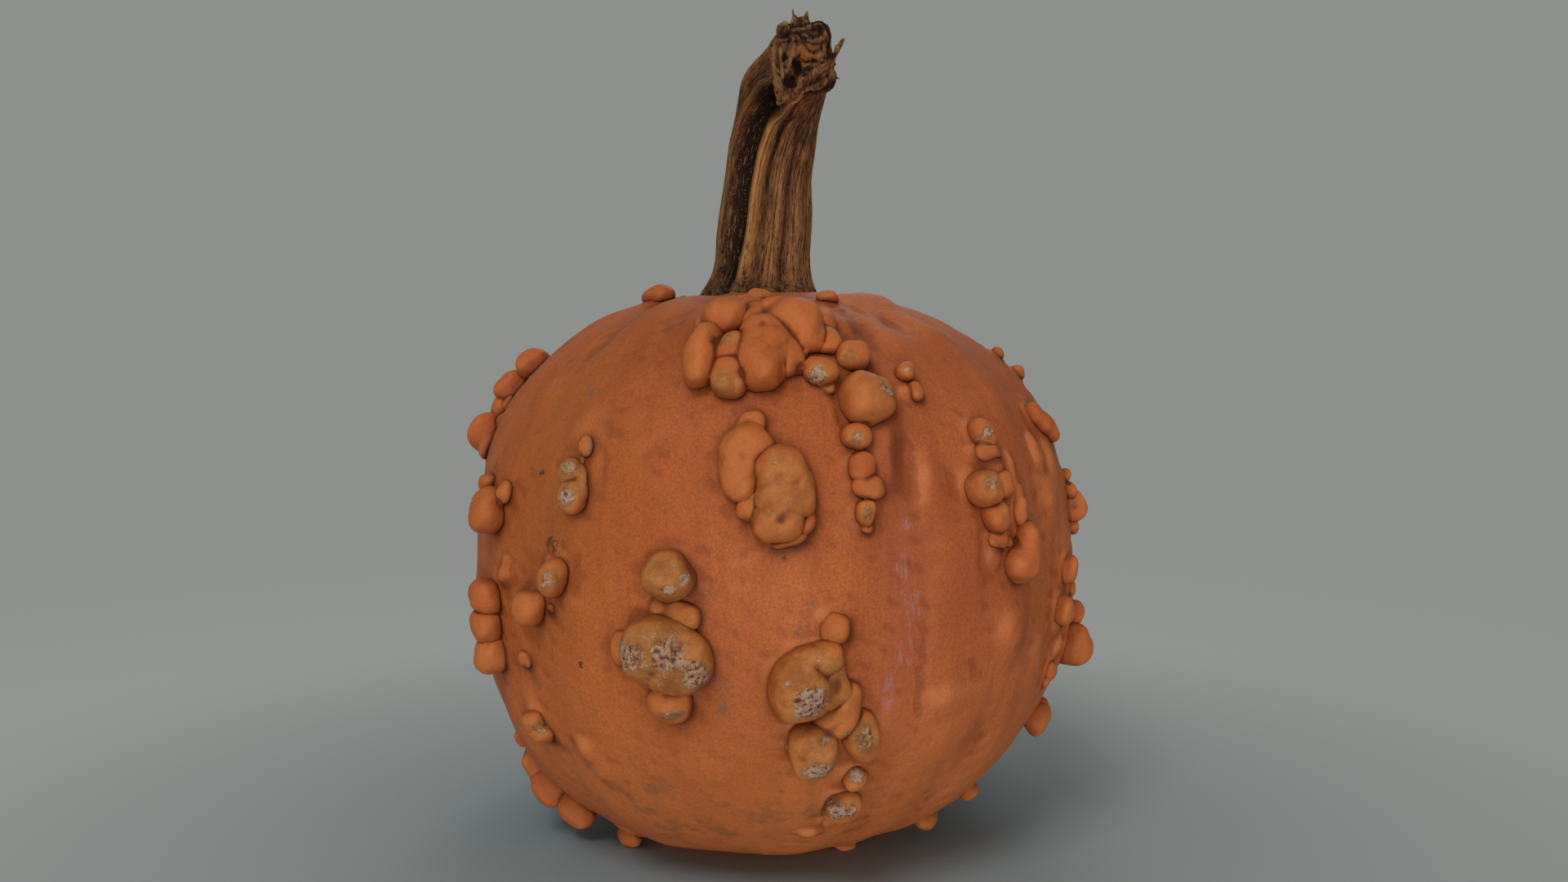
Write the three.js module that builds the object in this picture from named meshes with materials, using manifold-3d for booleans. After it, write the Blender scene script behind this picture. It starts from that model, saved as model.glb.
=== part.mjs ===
// A warty winter squash: one round fruit with knobs grown out of its rind, and its dry stem.
//
// Millimetres, +Z up. The squash stands on the plane z = 0, and its front faces -Y. The origin
// is on the small flat that it stands on, straight below the middle of its girth. A place on
// the rind is an azimuth, counted from the front toward +X, and a latitude, counted from the
// girth toward the stem.

import * as THREE from 'three';
import { mergeVertices } from 'three/addons/utils/BufferGeometryUtils.js';
import Module from 'manifold-3d';

const wasm = await Module();
wasm.setup();

const RADIANS = Math.PI / 180;
const TOUCH_GAP = 0.3;

// The rind, without its knobs.
const GIRTH_RADIUS = 100;
const GIRTH_HEIGHT = 95.4;
const CROWN_RISE = 85.3;
const UNDER_DROP = 98;
const PROFILE_POWER = 2.4; // 2 would be an ellipse from the side; more is squarer
const LEAN = 2.4 * RADIANS; // the stem end tips toward -X
const FULLER_SIDE = 4.5; // how much the +X side bulges past a round girth
const RIND_DETAIL = 7;

// The dip round the stem, and the flat in it that the stem grows from.
const HOLLOW_DEPTH = 3;
const HOLLOW_SPREAD = 15 * RADIANS;
const SEAT_HEIGHT = 178;
const SEAT_RADIUS = 24;

// Shallow valleys from stem to base: azimuth in degrees, depth, half width in degrees.
const VALLEYS = [
  [-74, 1.2, 8],
  [-43, 1.4, 7],
  [-20, 0.6, 7],
  [22, 1.3, 6],
  [37, 0.8, 6],
  [60, 1.5, 7],
  [88, 1.1, 8],
  [116, 1.5, 7],
  [141, 0.9, 7],
  [168, 1.5, 8],
  [196, 1.1, 7],
  [224, 1.5, 8],
  [256, 1.2, 8],
];
const SHOULDER_LATITUDE = 55 * RADIANS;
const SHOULDER_SPREAD = 16 * RADIANS;
const SHOULDER_GAIN = 1.6; // the valleys are this much deeper again on the shoulder

// A knob's middle stands above the rind by this share of its radius; the rest is rooted.
const KNOB_LIFT = 0.42;
const KNOB_DEPTH = 0.96; // out of the rind, as a share of its mean width
const BIG_KNOB = 10; // from this mean width a knob gets finer facets
const BIG_SWELL = 1.14; // the widths below are between creases; the whole knob is wider
const SMALL_SWELL = 1.26; // more, because its coarse facets cut inside the round shape

// Clusters of knobs. `at` is the cluster's azimuth and latitude in degrees. Each knob is
// its offset east and north along the rind, then its width and height.
const CLUSTERS = {
  crown: {
    at: [7, 41],
    knobs: [
      [-13.5, 5.5, 12.5, 12], [-20.5, -11.5, 10, 18], [-13, -8.5, 7.5, 10], [-15, -19, 9.5, 10],
      [-4.5, -8, 13, 13], [-4, -16.5, 12.5, 12], [-5.5, 6.5, 8, 7], [3.5, 0.5, 16.5, 16],
      [14, -4.5, 7.5, 6.5], [3, -14.5, 7, 11], [-0.5, 20.5, 7.5, 5.5], [17.5, 21, 6, 4.5],
    ],
  },
  collar: {
    at: [17, 27],
    knobs: [[-6.5, 6, 9, 8.5], [5, 12.5, 9, 8], [4.5, -3, 14.5, 15], [0, -12, 7.5, 7]],
  },
  string: {
    at: [17, 11],
    knobs: [[0.5, 7.5, 7.5, 7.5], [2, 2.5, 7, 5.5], [0, -4.5, 4.5, 6.5]],
  },
  pair: {
    at: [30, 29],
    knobs: [[0.5, 4, 4.5, 4.5], [-1, -3.5, 5, 5.5]],
  },
  ladder: {
    at: [42, 8],
    knobs: [
      [-1.5, 20, 8, 7.5], [-2.5, 14.5, 8, 6], [4, 10.5, 4, 9], [-7, 5.5, 9.5, 9.5],
      [0.5, 5.5, 6, 6], [7, -2.5, 4.5, 6.5], [-3.5, -2.5, 7.5, 8], [-2, -8, 7.5, 7],
      [7, -11.5, 8.5, 10.5], [5.5, -17.5, 9.5, 8], [-4.5, -14, 6, 8],
    ],
  },
  breast: {
    at: [3, 14],
    knobs: [
      [-3.5, 15.5, 6.5, 5.5], [-4, 9, 13, 9.5], [-7, 2.5, 9.5, 11], [2.5, 0.5, 14, 13.5],
      [5, -5.5, 11.5, 11.5], [-5.5, -6.5, 6, 6.5], [2.5, -11, 12.5, 11], [8, -10, 5, 8.5],
    ],
  },
  shoulderRight: {
    at: [63, 19],
    knobs: [[0.5, 5, 6.5, 6.5], [6.5, 0, 6, 7], [-9, -5.5, 6.5, 8]],
  },
  flankRight: {
    at: [75, 5],
    knobs: [[-2.5, 7, 4.5, 4.5], [2, 0.5, 6.5, 9]],
  },
  hipRight: {
    at: [68, -14],
    knobs: [
      [-5, 17, 6, 8.5], [-8.5, 5, 7.5, 8], [11.5, 1.5, 5.5, 6.5], [9.5, -8.5, 11, 12.5],
    ],
  },
  thighRight: {
    at: [78, -33],
    knobs: [[-0.5, -1, 9, 10.5], [1, 2, 5.5, 6]],
  },
  heelRight: {
    at: [70, -50],
    knobs: [[0.5, 0, 6.5, 6.5], [-7, -14, 10, 7.5]],
  },
  heelFront: {
    at: [39, -68],
    knobs: [[0, -0.5, 7.5, 4.5]],
  },
  navel: {
    at: [12, -7],
    knobs: [[0, 0, 6.5, 7]],
  },
  belly: {
    at: [10, -17],
    knobs: [
      [-7, 2, 14, 16], [-1.5, 9.5, 8.5, 7], [2, 2.5, 8, 7.5], [4.5, -2.5, 7.5, 10],
      [1, -8, 7.5, 6.5],
    ],
  },
  bellyLow: {
    at: [10, -25],
    knobs: [[-3, -0.5, 13, 13], [10, 1, 7.5, 13]],
  },
  bellyFoot: {
    at: [13, -38],
    knobs: [[4, 11.5, 6, 7], [1.5, 1, 9.5, 10]],
  },
  chestBall: {
    at: [-12, -3],
    knobs: [[0, 7, 12, 13.5], [-2.5, -2, 6.5, 5.5], [4, -3.5, 6, 7]],
  },
  chest: {
    at: [-15, -12],
    knobs: [[1.5, 4, 16, 17], [7, 1.5, 15, 17], [-10, 2.5, 4, 8.5], [2.5, -11, 10.5, 9.5]],
  },
  dotLeft: {
    at: [-28, 21],
    knobs: [[0.5, -0.5, 4.5, 5.5]],
  },
  beanLeft: {
    at: [-29, 15],
    knobs: [[-1, 2, 6.5, 6.5], [0, -4, 6, 8]],
  },
  duoLeft: {
    at: [-36, -3],
    knobs: [[4.5, 5, 7, 10], [-6, -3.5, 9, 10.5]],
  },
  browLeft: {
    at: [-82, 31],
    knobs: [[1, 16, 11, 11], [-0.5, 5.5, 11, 11], [-1, -1, 8.5, 9], [-0.5, -11, 10, 13]],
  },
  browTop: {
    at: [-52, 68],
    knobs: [[-3.5, -2, 11.5, 8]],
  },
  earLeft: {
    at: [-52, 13],
    knobs: [[-6, 3.5, 9, 5], [7, 1, 4.5, 7.5], [0, -3.5, 12, 13]],
  },
  flankLeft: {
    at: [-51, -7],
    knobs: [
      [3, 10.5, 5.5, 5.5], [-4, 5, 13, 10], [-4, -3, 12, 10.5], [-6.5, -13, 11, 8.5],
    ],
  },
  hipDotLeft: {
    at: [-44, -26],
    knobs: [[0.5, 0, 8.5, 8.5]],
  },
  hipLeft: {
    at: [-74, -43],
    knobs: [
      [-5, 13, 5, 6], [-3, 4.5, 9.5, 9.5], [0.5, -4, 14, 12.5], [1, -3.5, 7, 7.5],
      [5.5, -13, 14.5, 12.5],
    ],
  },
  heelLeft: {
    at: [-59, -59],
    knobs: [[0.5, -0.5, 10.5, 7.5]],
  },
};

// The far side carries more clusters of the same kinds, each mirrored east to west and
// spaced evenly by the golden ratio.
const FAR_KINDS = [
  'ladder', 'chest', 'collar', 'bellyLow', 'browLeft', 'chestBall', 'breast', 'earLeft',
  'string', 'belly', 'duoLeft', 'flankLeft',
];
const FAR_AZIMUTH = 99;
const FAR_WIDTH = 158;
const FAR_LATITUDE = -46;
const FAR_HEIGHT = 94;
const GOLDEN = 0.618;

// The stem's middle line, from its foot up and over toward the front: x, y, z, radius.
const STEM_FOOT = SEAT_HEIGHT + TOUCH_GAP;
const SPINE = [
  [0.4, 0, STEM_FOOT, 21.8],
  [0.5, 0.2, 186, 18.4],
  [1.2, 0.5, 200, 17],
  [2.2, 0.3, 217, 16.2],
  [3.8, -1.5, 232, 15.6],
  [6.8, -7.5, 244.5, 14.6],
  [10.6, -17, 251.6, 13.4],
  [14, -26, 254, 12],
];
const STEM_AROUND = 36;
const STEM_ALONG = 26;
const STEM_TWIST = 28 * RADIANS;

// Ridges along the stem: angle from +X toward +Y in degrees, height and half width.
const STEM_CORE = 0.8; // the section between ridges, as a share of the radius
const RIDGES = [
  [190, 0.2, 13],
  [217, -0.14, 11],
  [243, 0.17, 8],
  [276, 0.1, 12],
  [309, 0.17, 14],
  [341, 0.16, 12],
  [16, 0.18, 12],
  [58, 0.2, 13],
  [100, 0.17, 13],
  [146, 0.2, 13],
];

// The torn end: lumps, each with its middle and its half sizes across, deep and high.
const TORN_LUMPS = [
  [14.6, -27, 253.4, 11, 6.5, 11.8],
  [20.5, -27.5, 259, 5.2, 5, 5.6],
  [8, -28.5, 248, 4.2, 4, 7.6],
  [17.5, -28.5, 244.6, 8, 4.5, 4],
];
// Thorns on it: the foot, then the tip.
const THORN_RADIUS = 1.5;
const THORNS = [
  [[11.6, -28, 263], [11.4, -29, 269.3]],
  [[15.2, -28.5, 262.6], [16, -29.5, 268.6]],
  [[22.6, -29, 250], [27.4, -31, 258.7]],
  [[22, -29, 247.4], [25.6, -30, 247.2]],
];

function toSolid(geometry) {
  geometry.deleteAttribute('normal');
  geometry.deleteAttribute('uv');
  const merged = mergeVertices(geometry, 1e-5);
  const mesh = new wasm.Mesh({
    numProp: 3,
    vertProperties: new Float32Array(merged.attributes.position.array),
    triVerts: new Uint32Array(merged.index.array),
  });
  return new wasm.Manifold(mesh);
}

function toGeometry(solid) {
  const mesh = solid.getMesh();
  const geometry = new THREE.BufferGeometry();
  geometry.setAttribute('position', new THREE.BufferAttribute(mesh.vertProperties, 3));
  geometry.setIndex(new THREE.BufferAttribute(mesh.triVerts, 1));
  geometry.computeVertexNormals();
  return geometry;
}

// Moves every vertex of a geometry to place(vertex).
function reshape(geometry, place) {
  const position = geometry.attributes.position;
  const vertex = new THREE.Vector3();
  for (let i = 0; i < position.count; i += 1) {
    const moved = place(vertex.fromBufferAttribute(position, i));
    position.setXYZ(i, moved.x, moved.y, moved.z);
  }
  return geometry;
}

function bell(offset, halfWidth) {
  return Math.exp(-((offset / halfWidth) ** 2));
}

// The signed difference of two angles in degrees, between -180 and 180.
function turnBetween(angle, other) {
  return ((((angle - other + 180) % 360) + 360) % 360) - 180;
}

function valleyDepth(azimuth, latitude) {
  let depth = 0;
  for (const [at, deep, halfWidth] of VALLEYS) {
    depth += deep * bell(turnBetween(azimuth / RADIANS, at), halfWidth);
  }
  const shoulder = SHOULDER_GAIN * bell(latitude - SHOULDER_LATITUDE, SHOULDER_SPREAD);
  return depth * Math.cos(latitude) * (1 + shoulder);
}

function rindRadius(azimuth, latitude) {
  const across = Math.cos(latitude) / GIRTH_RADIUS;
  const reach = latitude > 0 ? CROWN_RISE : UNDER_DROP;
  const up = Math.abs(Math.sin(latitude)) / reach;
  const round = (across ** PROFILE_POWER + up ** PROFILE_POWER) ** (-1 / PROFILE_POWER);
  const fuller = FULLER_SIDE * Math.sin(azimuth) * Math.cos(latitude) ** 3;
  const hollow = HOLLOW_DEPTH * bell(Math.PI / 2 - latitude, HOLLOW_SPREAD);
  return round + fuller - hollow - valleyDepth(azimuth, latitude);
}

// The point of the rind at an azimuth and latitude, both in radians.
function rindPoint(azimuth, latitude) {
  const radius = rindRadius(azimuth, latitude);
  const level = radius * Math.cos(latitude);
  const point = new THREE.Vector3(
    level * Math.sin(azimuth),
    -level * Math.cos(azimuth),
    radius * Math.sin(latitude),
  );
  point.applyAxisAngle(new THREE.Vector3(0, 1, 0), -LEAN);
  point.z += GIRTH_HEIGHT;
  return point;
}

function rind() {
  const ball = new THREE.IcosahedronGeometry(1, RIND_DETAIL);
  const place = (v) => rindPoint(Math.atan2(v.x, -v.y), Math.asin(v.z / v.length()));
  return toSolid(reshape(ball, place));
}

// One rounded knob, rooted in the rind, with its width along the girth.
function knob(azimuth, latitude, width, height) {
  const step = 0.01;
  const foot = rindPoint(azimuth, latitude);
  const east = rindPoint(azimuth + step, latitude).sub(foot).normalize();
  const north = rindPoint(azimuth, latitude + step).sub(foot).normalize();
  const out = new THREE.Vector3().crossVectors(east, north).normalize();
  const mean = (width + height) / 2;
  const big = mean >= BIG_KNOB;
  const swell = big ? BIG_SWELL : SMALL_SWELL;
  const depth = KNOB_DEPTH * mean;
  const middle = foot.addScaledVector(out, (KNOB_LIFT * depth) / 2);
  const ball = new THREE.IcosahedronGeometry(swell / 2, big ? 1 : 0);
  ball.scale(width, height, depth);
  ball.applyMatrix4(new THREE.Matrix4().makeBasis(east, out.clone().cross(east), out));
  ball.translate(middle.x, middle.y, middle.z);
  return toSolid(ball);
}

// The knobs of one cluster; `hand` is -1 to mirror it east to west.
function clusterKnobs(azimuth, latitude, knobs, hand) {
  const made = [];
  const radius = rindRadius(azimuth * RADIANS, latitude * RADIANS);
  for (const [east, north, width, height] of knobs) {
    const knobLatitude = latitude * RADIANS + north / radius;
    const level = radius * Math.cos(knobLatitude);
    made.push(knob(azimuth * RADIANS + (hand * east) / level, knobLatitude, width, height));
  }
  return made;
}

function nearKnobs() {
  const clusters = Object.values(CLUSTERS);
  return clusters.flatMap(({ at, knobs }) => clusterKnobs(at[0], at[1], knobs, 1));
}

function farKnobs() {
  return FAR_KINDS.flatMap((kind, k) => {
    const azimuth = FAR_AZIMUTH + FAR_WIDTH * (((k + 1) * GOLDEN) % 1);
    const latitude = FAR_LATITUDE + (FAR_HEIGHT * (k + 0.5)) / FAR_KINDS.length;
    return clusterKnobs(azimuth, latitude, CLUSTERS[kind].knobs, -1);
  });
}

// Everything below the plane the squash stands on.
function floorBlock() {
  const block = new THREE.BoxGeometry(4 * GIRTH_RADIUS, 4 * GIRTH_RADIUS, GIRTH_RADIUS);
  block.translate(0, 0, -GIRTH_RADIUS / 2);
  return toSolid(block);
}

// The room that the stem's foot takes out of the rind.
function seatBlock() {
  const block = new THREE.CylinderGeometry(SEAT_RADIUS, SEAT_RADIUS, CROWN_RISE, 32);
  block.rotateX(Math.PI / 2);
  block.translate(SPINE[0][0], SPINE[0][1], SEAT_HEIGHT + CROWN_RISE / 2);
  return toSolid(block);
}

function fruit() {
  let solid = rind();
  for (const lump of [...nearKnobs(), ...farKnobs()]) {
    solid = solid.add(lump);
  }
  return solid.subtract(floorBlock()).subtract(seatBlock());
}

// The stem's radius at an angle round it, as a share of its plain radius.
function stemSection(angle) {
  let share = STEM_CORE;
  for (const [at, height, halfWidth] of RIDGES) {
    share += height * bell(turnBetween(angle / RADIANS, at), halfWidth);
  }
  return share;
}

// A bar along +Z, one high and one in radius, bent along the spine and ridged.
function stemBar() {
  const line = new THREE.CatmullRomCurve3(SPINE.map(([x, y, z]) => new THREE.Vector3(x, y, z)));
  const radii = new THREE.SplineCurve(SPINE.map(([, , , r], i) => new THREE.Vector2(i, r)));
  const bar = new THREE.CylinderGeometry(1, 1, 1, STEM_AROUND, STEM_ALONG);
  bar.rotateX(Math.PI / 2);
  return reshape(bar, (v) => {
    const along = v.z + 0.5;
    const angle = Math.atan2(v.y, v.x);
    const tangent = along === 0 ? new THREE.Vector3(0, 0, 1) : line.getTangent(along);
    const side = new THREE.Vector3(1, 0, 0).addScaledVector(tangent, -tangent.x).normalize();
    const back = new THREE.Vector3().crossVectors(tangent, side);
    const share = stemSection(angle - STEM_TWIST * along);
    const radius = Math.hypot(v.x, v.y) * radii.getPoint(along).y * share;
    const point = line.getPoint(along);
    point.addScaledVector(side, radius * Math.cos(angle));
    return point.addScaledVector(back, radius * Math.sin(angle));
  });
}

function tornLump([x, y, z, across, deep, high]) {
  const ball = new THREE.IcosahedronGeometry(1, 1);
  ball.scale(across, deep, high);
  ball.translate(x, y, z);
  return toSolid(ball);
}

function thorn([foot, tip]) {
  const from = new THREE.Vector3(...foot);
  const along = new THREE.Vector3(...tip).sub(from);
  const cone = new THREE.ConeGeometry(THORN_RADIUS, along.length(), 6);
  cone.translate(0, along.length() / 2, 0);
  const up = new THREE.Vector3(0, 1, 0);
  cone.applyQuaternion(new THREE.Quaternion().setFromUnitVectors(up, along.normalize()));
  cone.translate(from.x, from.y, from.z);
  return toSolid(cone);
}

function stem() {
  let solid = toSolid(stemBar());
  for (const piece of [...TORN_LUMPS.map(tornLump), ...THORNS.map(thorn)]) {
    solid = solid.add(piece);
  }
  return solid;
}

function addNode(group, name, solid, color, roughness) {
  const material = new THREE.MeshStandardMaterial({ color, roughness, metalness: 0 });
  const mesh = new THREE.Mesh(toGeometry(solid), material);
  mesh.name = name;
  group.add(mesh);
}

const squash = new THREE.Group();
addNode(squash, 'fruit', fruit(), 0xc0612f, 0.6);
addNode(squash, 'stem', stem(), 0x6b4a2c, 0.85);

export default squash;
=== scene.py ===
"""Winter squash: the warty rind and the dry ridged stem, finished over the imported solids."""
import math

import bpy
import numpy as np
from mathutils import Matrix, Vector


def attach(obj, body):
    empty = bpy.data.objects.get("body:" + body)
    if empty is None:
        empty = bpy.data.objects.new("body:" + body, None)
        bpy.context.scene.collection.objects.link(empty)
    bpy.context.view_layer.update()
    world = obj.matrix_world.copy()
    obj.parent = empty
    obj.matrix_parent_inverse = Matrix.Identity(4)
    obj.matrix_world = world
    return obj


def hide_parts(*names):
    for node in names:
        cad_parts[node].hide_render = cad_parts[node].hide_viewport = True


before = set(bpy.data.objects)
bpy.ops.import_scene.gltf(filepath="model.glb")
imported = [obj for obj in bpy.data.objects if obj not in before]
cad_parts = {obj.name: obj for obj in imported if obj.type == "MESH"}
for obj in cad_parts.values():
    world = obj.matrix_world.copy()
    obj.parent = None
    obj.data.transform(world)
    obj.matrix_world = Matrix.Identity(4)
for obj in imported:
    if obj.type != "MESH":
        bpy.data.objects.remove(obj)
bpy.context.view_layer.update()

MM = 0.001

# ---------------------------------------------------------------- sizes, in millimetres
# The rind without its knobs, as the solids have it. A place on it is an azimuth, counted
# from the front toward +X, and a latitude, counted from the girth toward the stem, in degrees.
GIRTH_RADIUS = 100.0
GIRTH_HEIGHT = 95.4
CROWN_RISE = 85.3
UNDER_DROP = 98.0
PROFILE_POWER = 2.4
LEAN = math.radians(2.4)
FULLER_SIDE = 4.5
HOLLOW_DEPTH = 3.0
HOLLOW_SPREAD = 15.0
STEM_FOOT = 178.3

# Shallow valleys from stem to base: azimuth, depth, half width in degrees.
VALLEYS = [
    (-74, 1.2, 8), (-43, 1.4, 7), (-20, 0.6, 7), (22, 1.3, 6), (37, 0.8, 6), (60, 1.5, 7),
    (88, 1.1, 8), (116, 1.5, 7), (141, 0.9, 7), (168, 1.5, 8), (196, 1.1, 7), (224, 1.5, 8),
    (256, 1.2, 8),
]
SHOULDER_LATITUDE = 55.0
SHOULDER_SPREAD = 16.0
SHOULDER_GAIN = 1.6
CRINKLES = 23  # fine folds that run from the stem over the shoulder
CRINKLE_HEIGHT = 0.6
CRINKLE_LATITUDE = 62.0
CRINKLE_SPREAD = 20.0

# Low swellings and dents of the skin itself: azimuth, latitude, height, half width across
# and half length along.
SWELLS = [
    (-31, 23, 1.6, 5, 5), (-33, 12, 1, 5, 5), (-30, 8, 0.8, 4, 4),
    (-30, -5, 0.9, 5, 5), (-33, -29, 1.8, 4, 4), (-31, -33, 1.3, 4, 4), (-46, -23, 1, 4, 6),
    (54, -19, 1.4, 7, 8), (33, -27, 1.2, 8, 10), (42, -30, -1, 5, 8), (21, -25, 1.2, 6, 8),
    (-12, -30, 0.8, 7, 7), (24, 22, 1.6, 6, 6), (21.5, 15.5, 2.2, 4, 12), (15.5, 24, -1.2, 1.6, 8),
    (22, 5, 0.8, 6, 8), (-45, 32, 1.2, 6, 7), (-20, 25, 0.7, 4, 4), (-18, 18, 0.7, 5, 5),
    (-14, 22, 0.5, 5, 4), (5, 0, 0.6, 9, 9), (60, 8, 1.4, 6, 8), (50, 25, 1.2, 7, 9),
    (64, 14, 1.6, 4, 7), (70, -2, 1.2, 7, 7), (47, 56, 2.8, 13, 9), (30, 62, -1.2, 5, 14),
    (-30, 58, 1.2, 7, 12), (-8, 60, -0.8, 4, 12), (-62, 55, 1.4, 8, 12), (-40, 44, -0.8, 4, 14),
    (38, 4, -0.9, 3, 16), (26, -14, -0.7, 3, 18), (46, 40, 0.8, 6, 12), (28, 38, -1, 4, 9),
    (32.5, 57, -1.6, 3, 6), (34, 50, -1.6, 3, 6), (38.5, 45, -1.2, 3, 5), (23, 50, 1.6, 3.5, 7),
    (24.5, 44, 1.4, 3, 5), (-28, 25.5, 1.6, 4.5, 5.5), (-16.8, 20.4, 1, 3.5, 4),
    (-15, 13.5, 0.9, 4.5, 4), (-25.5, 16.5, 1.1, 2, 4.5), (25.5, 15, -0.7, 3.2, 10),
    (29, 13, 1.2, 3.5, 8), (43.5, -12.5, 2, 6, 7), (31, -21, 0.9, 5, 4), (36, -17, -0.8, 4, 5),
]

# Unevenness of the skin, the knobs, their crust and the torn face: height, spacing of the
# bumps, seed, and the number of waves where it isn't the usual one. The skin's spacings are
# shares of its radius.
SKIN_RIPPLES = [(0.5, 0.42, 11), (0.22, 0.17, 12), (0.07, 0.055, 14, 12), (0.03, 0.026, 15, 12)]
KNOB_RIPPLES = [(0.17, 7, 55), (0.07, 4.2, 53), (0.02, 2, 54)]
CRUST_RIPPLES = [(0.16, 1.7, 51, 12), (0.1, 0.95, 52, 12)]
CRUST_THICKNESS = 0.12
TORN_RIPPLES = [(0.4, 7.5, 64), (0.22, 3.6, 65), (0.11, 1.7, 66, 12)]

# How a knob sits and swells, as shares of its size.
KNOB_LIFT = 0.42
KNOB_DEPTH = 0.96
KNOB_SWELL = 1.07
KNOB_ROUNDNESS = 2.25  # 2 is an ellipsoid, more is squarer
KNOB_LOBES = 0.085
LUMP_SOFTNESS = 0.22  # how softly knobs of one lump join, as a share of their width
LEAST_RISE = 0.62  # a knob that stands out less than this is made as a low dome of the skin
PAD_RISE = 0.2  # but a wide pad, which stands out even less than this, stays a knob
DOME_HEIGHT = 0.62  # a dome's height, as a share of how far its knob stands out
DOME_REACH = 0.5  # a dome's half width, as a share of its knob's width
DOME_SQUARENESS = 1.7

# Where knobs meet each other and the skin, in millimetres.
CREASE = 0.45  # how softly one lump of knobs meets another
ROOT = 1.6  # how far knobs reach below the skin
SKIN_RISE = 0.9  # the skin is drawn up this far against a knob
SKIN_RISE_WIDTH = 1.6
SKIN_SHADE_WIDTH = 2.6
SKIN_REACH = 9.0  # the skin is left as it is farther than this from every knob
KNOB_REACH = 2.0  # the rough knobs lie within this of the finished ones
DRAW_LIMIT = 0.8  # the longest step by which rough knobs are drawn onto the finished ones
DRAW_STEPS = 3
FAR_AWAY = 99.0  # stands for the distance of lumps that are out of reach

# The rind gets the least painted shade where it faces this way, and the more it faces away, the more.
LIT_FROM = np.array([-0.5, -0.4, 0.66])
SHADE_GAIN = 0.6
SHADE_MOST = 1.1

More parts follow.
